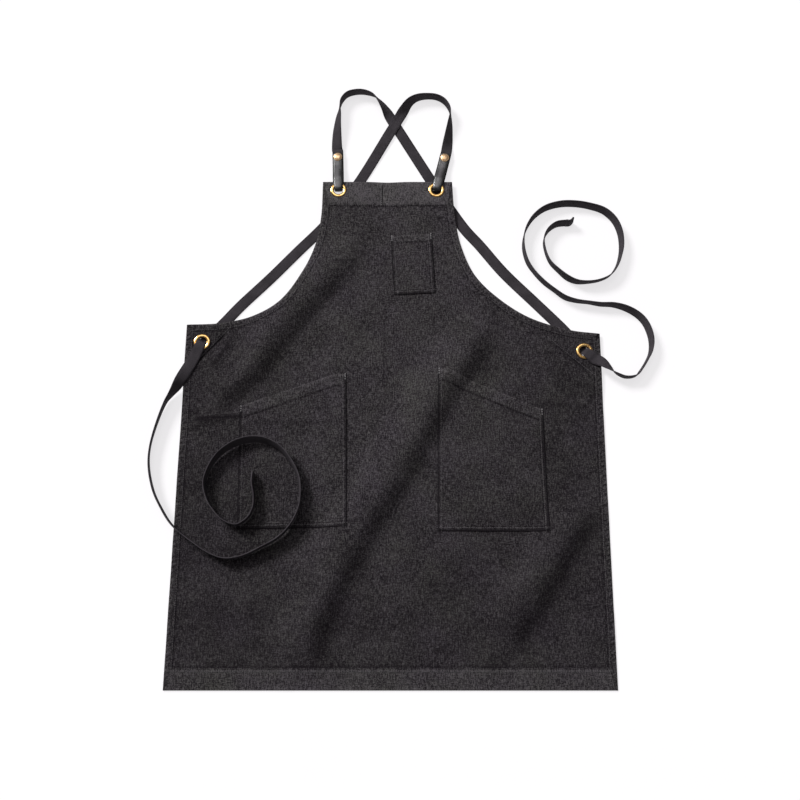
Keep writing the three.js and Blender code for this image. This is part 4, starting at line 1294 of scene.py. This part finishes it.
def strap_stations(snap, turn, loop, rise, over, back, eyelet, tie, tie_length, flat_lean):
    (ex, ey), top, _ = eyelet
    middle = np.array([ex, ey])
    stations = []
    for distance in (-STRAP_END_IN_TAB, 0, TAB_END, STRAP_LEAVES_TAB):
        x, y = snap + tab_way(turn) * distance
        stations.append((x, y, STRAP_IN_TAB, STRAP_WIDTH, 0))
    for across, up, lean in loop:
        x = snap[0] + across * (crossing[0] - snap[0])
        stations.append((x, snap[1] + up * rise, 0, STRAP_WIDTH, lean))
    behind = [crossing + np.array(row) * (middle - crossing) for row in back]
    onwards = unit(behind[0] - crossing)
    for distance in (-HOLD_AT_CROSSING, 0, HOLD_AT_CROSSING):
        x, y = crossing + onwards * distance
        stations.append((x, y, over, STRAP_WIDTH, flat_lean))
    stations += [(x, y, 0, STRAP_WIDTH, flat_lean) for x, y in behind]
    coming = unit(middle - behind[-1])
    going = unit(np.array(tie[0][:2], float))
    highest = top + CLEARANCE + EYELET_DOME + CLEARANCE
    for along, climb, narrow in STRAP_THROUGH:
        x, y = middle + (coming if along < 0 else going) * along * EYELET_BORE
        width = STRAP_WIDTH + narrow * (STRAP_IN_EYELET - STRAP_WIDTH)
        stations.append((x, y, climb * highest, width, flat_lean))
    spots = [middle + np.array(row[:2]) * tie_length for row in tie]
    for i, spot in enumerate(spots):
        before = spots[i - 1] if i else middle
        after = spots[i + 1] if i + 1 < len(spots) else spot
        lean = flat_lean + tie[i][2]
        foot = resting_foot(spot, unit(after - before), lean)
        stations.append((spot[0], spot[1], foot, STRAP_WIDTH, lean))
    return stations


# For strap_stations: from which snap and at what turn, the loop and its rise, the height
# over the crossing, the way behind the bib, the corner's eyelet, the tie and its length,
# and the lean that the webbing starts its way with
STRAP_ROUTES = {
    "strap_from_left_tab": (
        SNAPS["left"], TAB_TURN_LEFT, LOOP_LEFT, SHOULDER_RISE_LEFT, 0, BACK_TO_RIGHT,
        EYELETS["corner_right"], TIE_RIGHT, TIE_LENGTH_RIGHT, 0,
    ),
    "strap_from_right_tab": (
        SNAPS["right"], TAB_TURN_RIGHT, LOOP_RIGHT, SHOULDER_RISE_RIGHT, UNDER_STRAP,
        BACK_TO_LEFT, EYELETS["corner_left"], TIE_LEFT, TIE_LENGTH_LEFT, -180,
    ),
}


def make_strap(name, material, route):
    frames = band_frames(strap_stations(*route), STRAP_THICKNESS)
    left = run_along(frames[0][::-1])[::-1]
    upright = np.abs(frames[1][:, 2])
    turned_end = STRAP_THICKNESS * TIE_END_THICKER * step_down(left, TIE_END_HEM, 2)
    thickness = STRAP_THICKNESS * (1 + ON_EDGE_THICKER * upright**2) + turned_end
    return band_piece(name, frames, thickness, material), frames, float(left[0])


# Turned brass
# How far in from a brass piece's rims its painted edge shade reaches
METAL_EDGE = 0.9


def turned_piece(name, profile, centre, material, segments, closed=True):
    """A profile of radius and height, turned about an upright axis."""
    profile = np.asarray(profile, float)
    ring = circle(0, 0, 1, segments)
    inner, outer = profile[:, 0].min(), profile[:, 0].max()
    points, edge, rows = [], [], []
    for radius, height in profile:
        nearest = outer - radius if inner == 0 else min(outer - radius, radius - inner)
        around = ring if radius else ring[:1]
        rows.append(range(len(points), len(points) + len(around)))
        edge += [step_down(nearest, 0, METAL_EDGE)] * len(around)
        points += [
            (centre[0] + radius * c, centre[1] + radius * s, centre[2] + height)
            for c, s in around
        ]
    faces = []
    for i in range(len(rows) if closed else len(rows) - 1):
        first, second = rows[i], rows[(i + 1) % len(rows)]
        for k in range(segments):
            j = (k + 1) % segments
            if len(first) == 1:
                faces.append((first[0], second[j], second[k]))
            elif len(second) == 1:
                faces.append((first[k], first[j], second[0]))
            else:
                faces.append((first[k], first[j], second[j], second[k]))
    piece = mesh_object(name, points, faces, material)
    turn_outwards(piece)
    set_map(piece, "edge", np.array(edge), np.zeros(len(edge)))
    return piece


def arc(centre, radii, start, stop, count):
    """Points of an ellipse's arc, in radius and height."""
    angles = np.radians(np.linspace(start, stop, count))
    return [
        (centre[0] + radii[0] * math.cos(a), centre[1] + radii[1] * math.sin(a)) for a in angles
    ]


def eyelet_profile(stack):
    bore = EYELET_BORE / 2
    barrel = bore + EYELET_WALL
    rim = EYELET_DIAMETER / 2
    low = -stack - SET_DEPTH
    profile = [(bore, low + 0.2), (bore + 0.2, low)]
    profile += arc((barrel + EYELET_LIP - 0.35, low + 0.35), (0.35, 0.35), -90, 90, 7)
    profile += [(barrel, low + EYELET_WALL), (barrel, CLEARANCE), (rim - 0.2, CLEARANCE)]
    dome = ((rim - bore) / 2, EYELET_DOME - 0.12)
    return profile + arc(((bore + rim) / 2, CLEARANCE + 0.12), dome, 0, 180, 22)


def washer_profile(stack):
    inner = EYELET_BORE / 2 + EYELET_WALL + CLEARANCE
    outer = WASHER_DIAMETER / 2
    high = -stack - CLEARANCE
    low = high - WASHER
    profile = [(inner, low + 0.15), (inner + 0.15, low)]
    profile += arc((outer - 0.3, (low + high) / 2), (0.3, WASHER / 2), -90, 90, 7)
    return profile + [(inner, high)]


def snap_cap_profile():
    rim = SNAP_DIAMETER / 2
    post = SNAP_POST / 2
    seat = CAP_SEAT
    profile = [(0, BACK_LEAF), (post, BACK_LEAF), (post, seat), (rim - 0.5, seat)]
    profile += arc((rim - 0.5, seat + 0.5), (0.5, 0.5), -90, 60, 7)
    profile += [(rim - 1.0, seat + 0.98), (rim - 1.25, seat + 1.0)]
    profile += arc((0, seat + 0.95), (rim - 1.3, SNAP_DOME - 0.95), 6, 84, 12)
    return profile + [(0, seat + SNAP_DOME)]


def snap_stud_profile():
    rim = STUD_DIAMETER / 2
    high = STUD_THICKNESS
    profile = [(0, 0.02), (rim - 0.3, 0.02)]
    profile += arc((rim - 0.4, 0.42), (0.4, 0.4), -90, 40, 6)
    return profile + [(rim * 0.8, high - 0.2), (rim * 0.7, high), (0, high)]


# Stitches
def make_stitch_tree():
    """Stitches laid along every line of the mesh that the modifier is on."""
    geometry = "NodeSocketGeometry"
    tree, (guide, pitch, length, thread, material), result = new_group(
        "stitches_along_seams",
        [
            ("Geometry", geometry, None),
            ("Pitch", FLOAT, STITCH_PITCH * MM),
            ("Length", FLOAT, STITCH_LENGTH * MM),
            ("Thread", FLOAT, THREAD * MM),
            ("Material", "NodeSocketMaterial", None),
        ],
        [("Geometry", geometry)],
        "GeometryNodeTree",
    )
    line = add(tree, "GeometryNodeMeshToCurve", Mesh=guide)[0]
    points, _, _, turns = add(
        tree, "GeometryNodeCurveToPoints", {"mode": "LENGTH"}, Curve=line, Length=pitch
    )
    bead = add(tree, "GeometryNodeMeshUVSphere", Segments=6, Rings=4, Radius=0.5)[0]
    size = add(tree, "ShaderNodeCombineXYZ", None, thread, thread, length)[0]
    stitch = add(tree, "GeometryNodeTransform", Geometry=bead, Scale=size)[0]
    laid = add(
        tree, "GeometryNodeInstanceOnPoints", Points=points, Instance=stitch, Rotation=turns
    )[0]
    solid = add(tree, "GeometryNodeRealizeInstances", Geometry=laid)[0]
    give(result[0], add(tree, "GeometryNodeSetMaterial", Geometry=solid, Material=material)[0])
    return tree


def sew(name, lines, material, tree):
    """One plain mesh of stitches along lines of points in the drawing."""
    points, edges = [], []
    for line in lines:
        start = len(points)
        points += [tuple(p) for p in line]
        edges += [(start + i, start + i + 1) for i in range(len(line) - 1)]
    guide = bpy.data.meshes.new(name + "_guide")
    guide.from_pydata(place(points).tolist(), edges, [])
    worker = link(name + "_guide", guide)
    modifier = worker.modifiers.new("stitches", "NODES")
    modifier.node_group = tree
    for item in tree.interface.items_tree:
        if item.item_type == "SOCKET" and item.in_out == "INPUT" and item.name == "Material":
            modifier[item.identifier] = material
    ready = worker.evaluated_get(bpy.context.evaluated_depsgraph_get())
    mesh = bpy.data.meshes.new_from_object(ready)
    mesh.name = name
    mesh.shade_smooth()
    bpy.data.objects.remove(worker)
    return link(name, mesh)


def seam(points, inward, gap=4.0, from_end=0.0):
    """A line of points moved in from its edge by a distance, with its ends held back."""
    line = moved_in(evenly(points, gap), inward)
    skip = int(round(from_end / gap))
    return line[skip : len(line) - skip]


def laid_on(line, edges, top_of, lift):
    """A line of points laid on a cloth's upper face."""
    x, y = line.T
    _, depth, hem, _ = hem_field(edges, x, y)
    return np.column_stack([line, top_of(x, y, depth, hem) + lift])


def on_pocket(line, edges, lift=POCKET_STITCH_LIFT):
    return laid_on(line, edges, pocket_top, lift)


def on_panel(line):
    return laid_on(line, PANEL_EDGES, panel_top, STITCH_LIFT)


# Build
make_camera()
make_light()
GROUPS["yarns"] = make_yarn_group()
GROUPS["mottle"] = make_mottle_group()
GROUPS["hem"] = make_hem_group()

denim = make_denim("denim", grey(24, 20, 24), grey(97, 92, 97), grey(95, 94, 90))
pocket_denim = make_denim("pocket_denim", grey(24, 20, 24), grey(98, 93, 98), grey(96, 95, 91))
webbing = make_webbing("webbing", grey(31, 28, 31), grey(76, 72, 76))
leather = make_leather("leather", grey(14, 13, 14), grey(86, 83, 86))
# The last colour of each brass is its painted edge shade
brass = make_metal(
    "brass", grey(232, 194, 128), grey(168, 112, 54), grey(96, 62, 26), 0.12, 0.24
)
aged_brass = make_metal(
    "aged_brass", grey(224, 190, 152), grey(170, 130, 96), grey(92, 74, 58), 0.3, 0.46
)
dark_thread = make_thread("dark_thread", grey(10, 8, 10), grey(26, 24, 26))
tack_thread = make_thread("tack_thread", grey(120, 117, 120), grey(165, 162, 164))
light_thread = make_thread("light_thread", grey(70, 67, 70), grey(112, 108, 111))

PANEL_EDGES = panel_edges()
PANEL_OUTLINE = dense_outline(PANEL_EDGES, OUTLINE_GAP)
POCKET_OUTLINES = {
    "bib_pocket": bib_pocket_points(),
    "hip_pocket_left": hip_pocket_points(-1, HIP_POCKET_TURN_LEFT)[::-1],
    "hip_pocket_right": hip_pocket_points(1, HIP_POCKET_TURN_RIGHT),
}
SIDES = [POCKET_SIDE_HEM]
POCKET_HEMS = {
    "bib_pocket": SIDES * 2 + [BIB_OPENING_HEM] + SIDES,
    "hip_pocket_left": [HIP_OPENING_HEM] * 2 + SIDES * 3,
    "hip_pocket_right": SIDES * 2 + [HIP_OPENING_HEM] * 2 + SIDES,
}


def finish_piece(piece, node, body="root"):
    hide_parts(node)
    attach(piece, body)


def make_cloth():
    holes = [circle(x, y, CLOTH_HOLE, 40) for (x, y), _, _ in EYELETS.values()]
    depths = [(0, 0.6), (0, 1.7), (1, -1.6), (1, -0.5), (1, 0.6), (1, 1.8), (1, 3.6)]
    slot = [(SLOT_X, APRON_LENGTH - TOP_HEM + 4), (SLOT_X, APRON_LENGTH - 3)]
    seam_rows = [
        seam(line, away, 2.5)
        for line in [slot, *PATCH_SEAMS]
        for away in (-3, -1.8, -0.9, 0, 0.9, 1.8, 3)
    ]
    panel = cloth_piece(
        "denim_panel", PANEL_EDGES, denim, panel_top, panel_bottom, PANEL_GRID, depths, holes,
        PANEL_PUCKERS, np.concatenate(seam_rows),
    )
    finish_piece(panel, "apron_panel")
    for node, outline in POCKET_OUTLINES.items():
        pocket = cloth_piece(
            f"denim_{node}", polygon_edges(outline, POCKET_HEMS[node]), pocket_denim,
            pocket_top, pocket_bottom, POCKET_GRID,
            [(0, 0.6), (0, 1.7), (1, -1.4), (1, -0.4), (1, 0.6), (1, 1.6), (1, 3.0)],
        )
        finish_piece(pocket, node)


def patch_top(x, y, depth, hem):
    return panel_face(x, y) - HEM_STEP - CLOTH - CLEARANCE


def patch_bottom(share, top):
    return top - PATCH_CLOTH


def make_patches():
    inset = SIDE_HEM + 1
    along = PATCH_ACROSS - inset * (1 + PATCH_ACROSS / PATCH_DOWN)
    down = PATCH_DOWN - inset * (1 + PATCH_DOWN / PATCH_ACROSS)
    for spot, corner, side in (
        ("corner_left", corner_left, -1),
        ("corner_right", corner_right, 1),
    ):
        node = spot.replace("corner", "corner_patch")
        x, y = corner[0] - side * inset, corner[1] - inset
        points = [(x, y), (x - side * along, y), (x, y - down)][::side]
        hole = circle(*EYELETS[spot][0], CLOTH_HOLE, 32)
        patch = cloth_piece(
            f"denim_{node}", polygon_edges(points, [6, 6, 6]), denim, patch_top, patch_bottom,
            PATCH_GRID, [], [hole],
        )
        finish_piece(patch, node)


def make_brass_fittings():
    for spot, ((x, y), top, stack) in EYELETS.items():
        for kind, profile, segments in (
            ("eyelet", eyelet_profile(stack), 96),
            ("washer", washer_profile(stack), 64),
        ):
            name = f"{kind}_{spot}"
            piece = turned_piece(f"{name}_brass", profile, (x, y, top), brass, segments)
            finish_piece(piece, name)
    for side, (x, y) in SNAPS.items():
        for kind, profile, segments in (
            ("snap_cap", snap_cap_profile(), 64),
            ("snap_stud", snap_stud_profile(), 48),
        ):
            name = f"{kind}_{side}"
            piece = turned_piece(f"{name}_brass", profile, (x, y, 0), aged_brass, segments, False)
            finish_piece(piece, name)


def make_tabs():
    for side, spot, degrees in (
        ("left", "bib_left", TAB_TURN_LEFT),
        ("right", "bib_right", TAB_TURN_RIGHT),
    ):
        tab = make_tab(f"{side}_leaf", EYELETS[spot][0], degrees, leather)
        finish_piece(tab, f"leather_tab_{side}")


def make_straps():
    lines = []
    for name, route in STRAP_ROUTES.items():
        strap, frames, length = make_strap(f"webbing_{name}", webbing, route)
        finish_piece(strap, name)
        middles, across, through, _ = frames
        run = run_along(middles[::-1])
        at = len(middles) - 1 - int(np.argmax(run > TIE_END_HEM - 2))
        for face in (-1, 1):
            lift = face * STRAP_THICKNESS * 0.85
            line = np.array([
                middles[at] + across[at] * STRAP_WIDTH * e + through[at] * lift
                for e in np.linspace(-0.46, 0.46, 12)
            ])
            line[:, 2] = np.maximum(line[:, 2], STITCH_LENGTH / 2 + 0.1)
            lines.append(line)
    return lines


def make_stitching(tie_lines):
    tree = make_stitch_tree()
    bottom, right_side, right_arm, top, *left_lines = [line for line, _ in PANEL_EDGES]
    sides = [right_side, right_arm, *left_lines]
    hem_lines, edge_lines, tack_lines, pocket_lines, second_lines = [], [], [], [], []
    for line, inset, from_end, rows in (
        (bottom, BOTTOM_HEM - 1.2, 3, hem_lines),
        (bottom, BOTTOM_HEM - 6.5, 3, hem_lines),
        (top, TOP_HEM - 1.4, 3, hem_lines),
        *((line, SIDE_HEM - 1.6, 6, edge_lines) for line in sides),
        (bottom, BOTTOM_HEM - 3.6, 3, edge_lines),
        (bottom, BOTTOM_HEM - 5.4, 3, edge_lines),
    ):
        rows.append(on_panel(seam(line, inset, from_end=from_end)))
    for across, rows in ((-3.2, tack_lines), (-2.6, edge_lines), (0, hem_lines), (0.5, hem_lines)):
        x = SLOT_X + across
        slot = [(x, APRON_LENGTH - 2), (x, APRON_LENGTH - TOP_HEM + 2)]
        rows.append(on_panel(evenly(slot, 4)))
    for line, side in zip(PATCH_SEAMS, (-1, 1)):
        for inset, rows in ((0, hem_lines), (2.2, edge_lines), (8, hem_lines)):
            rows.append(on_panel(seam(line, side * inset)))
    for node, outline in POCKET_OUTLINES.items():
        edges = polygon_edges(outline, POCKET_HEMS[node])
        for i, (line, hem) in enumerate(edges):
            if hem > POCKET_SIDE_HEM:
                pocket_lines.append(on_pocket(seam(line, hem - 1, 4, 2), edges))
                continue
            for inset, rows in ((1.8, pocket_lines), (6.0, second_lines)):
                rows.append(on_pocket(seam(line, inset, 4, 2), edges))
            for inset in TACK_ROWS:
                row = seam(line, inset, TACK_LENGTH / 3)
                if edges[(i + 1) % len(edges)][1] > POCKET_SIDE_HEM:
                    tack_lines.append(on_pocket(row[-4:], edges, STITCH_LIFT))
                if edges[i - 1][1] > POCKET_SIDE_HEM:
                    tack_lines.append(on_pocket(row[:4], edges, STITCH_LIFT))
    for name, rows, thread, slot in (
        ("panel_stitching", hem_lines, dark_thread, "denim"),
        ("edge_stitching", edge_lines, light_thread, "denim"),
        ("pocket_stitching", pocket_lines, dark_thread, "denim"),
        ("pocket_second_stitching", second_lines, light_thread, "denim"),
        ("pocket_bar_tacks", tack_lines, tack_thread, "denim"),
        ("tie_end_stitching", tie_lines, light_thread, "webbing"),
    ):
        piece = sew(name, rows, thread, tree)
        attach(piece, "root")


FLOOR_HALF = 3.0
FLOOR_LEVEL = -0.0004


def make_floor():
    corners = [
        (x * FLOOR_HALF, y * FLOOR_HALF, FLOOR_LEVEL)
        for x, y in ((-1, -1), (1, -1), (1, 1), (-1, 1))
    ]
    mesh = bpy.data.meshes.new("paper_floor")
    mesh.from_pydata(corners, [], [(0, 1, 2, 3)])
    mesh.materials.append(make_paper())
    link("paper_floor", mesh)


make_cloth()
make_patches()
make_brass_fittings()
make_tabs()
make_stitching(make_straps())
make_floor()
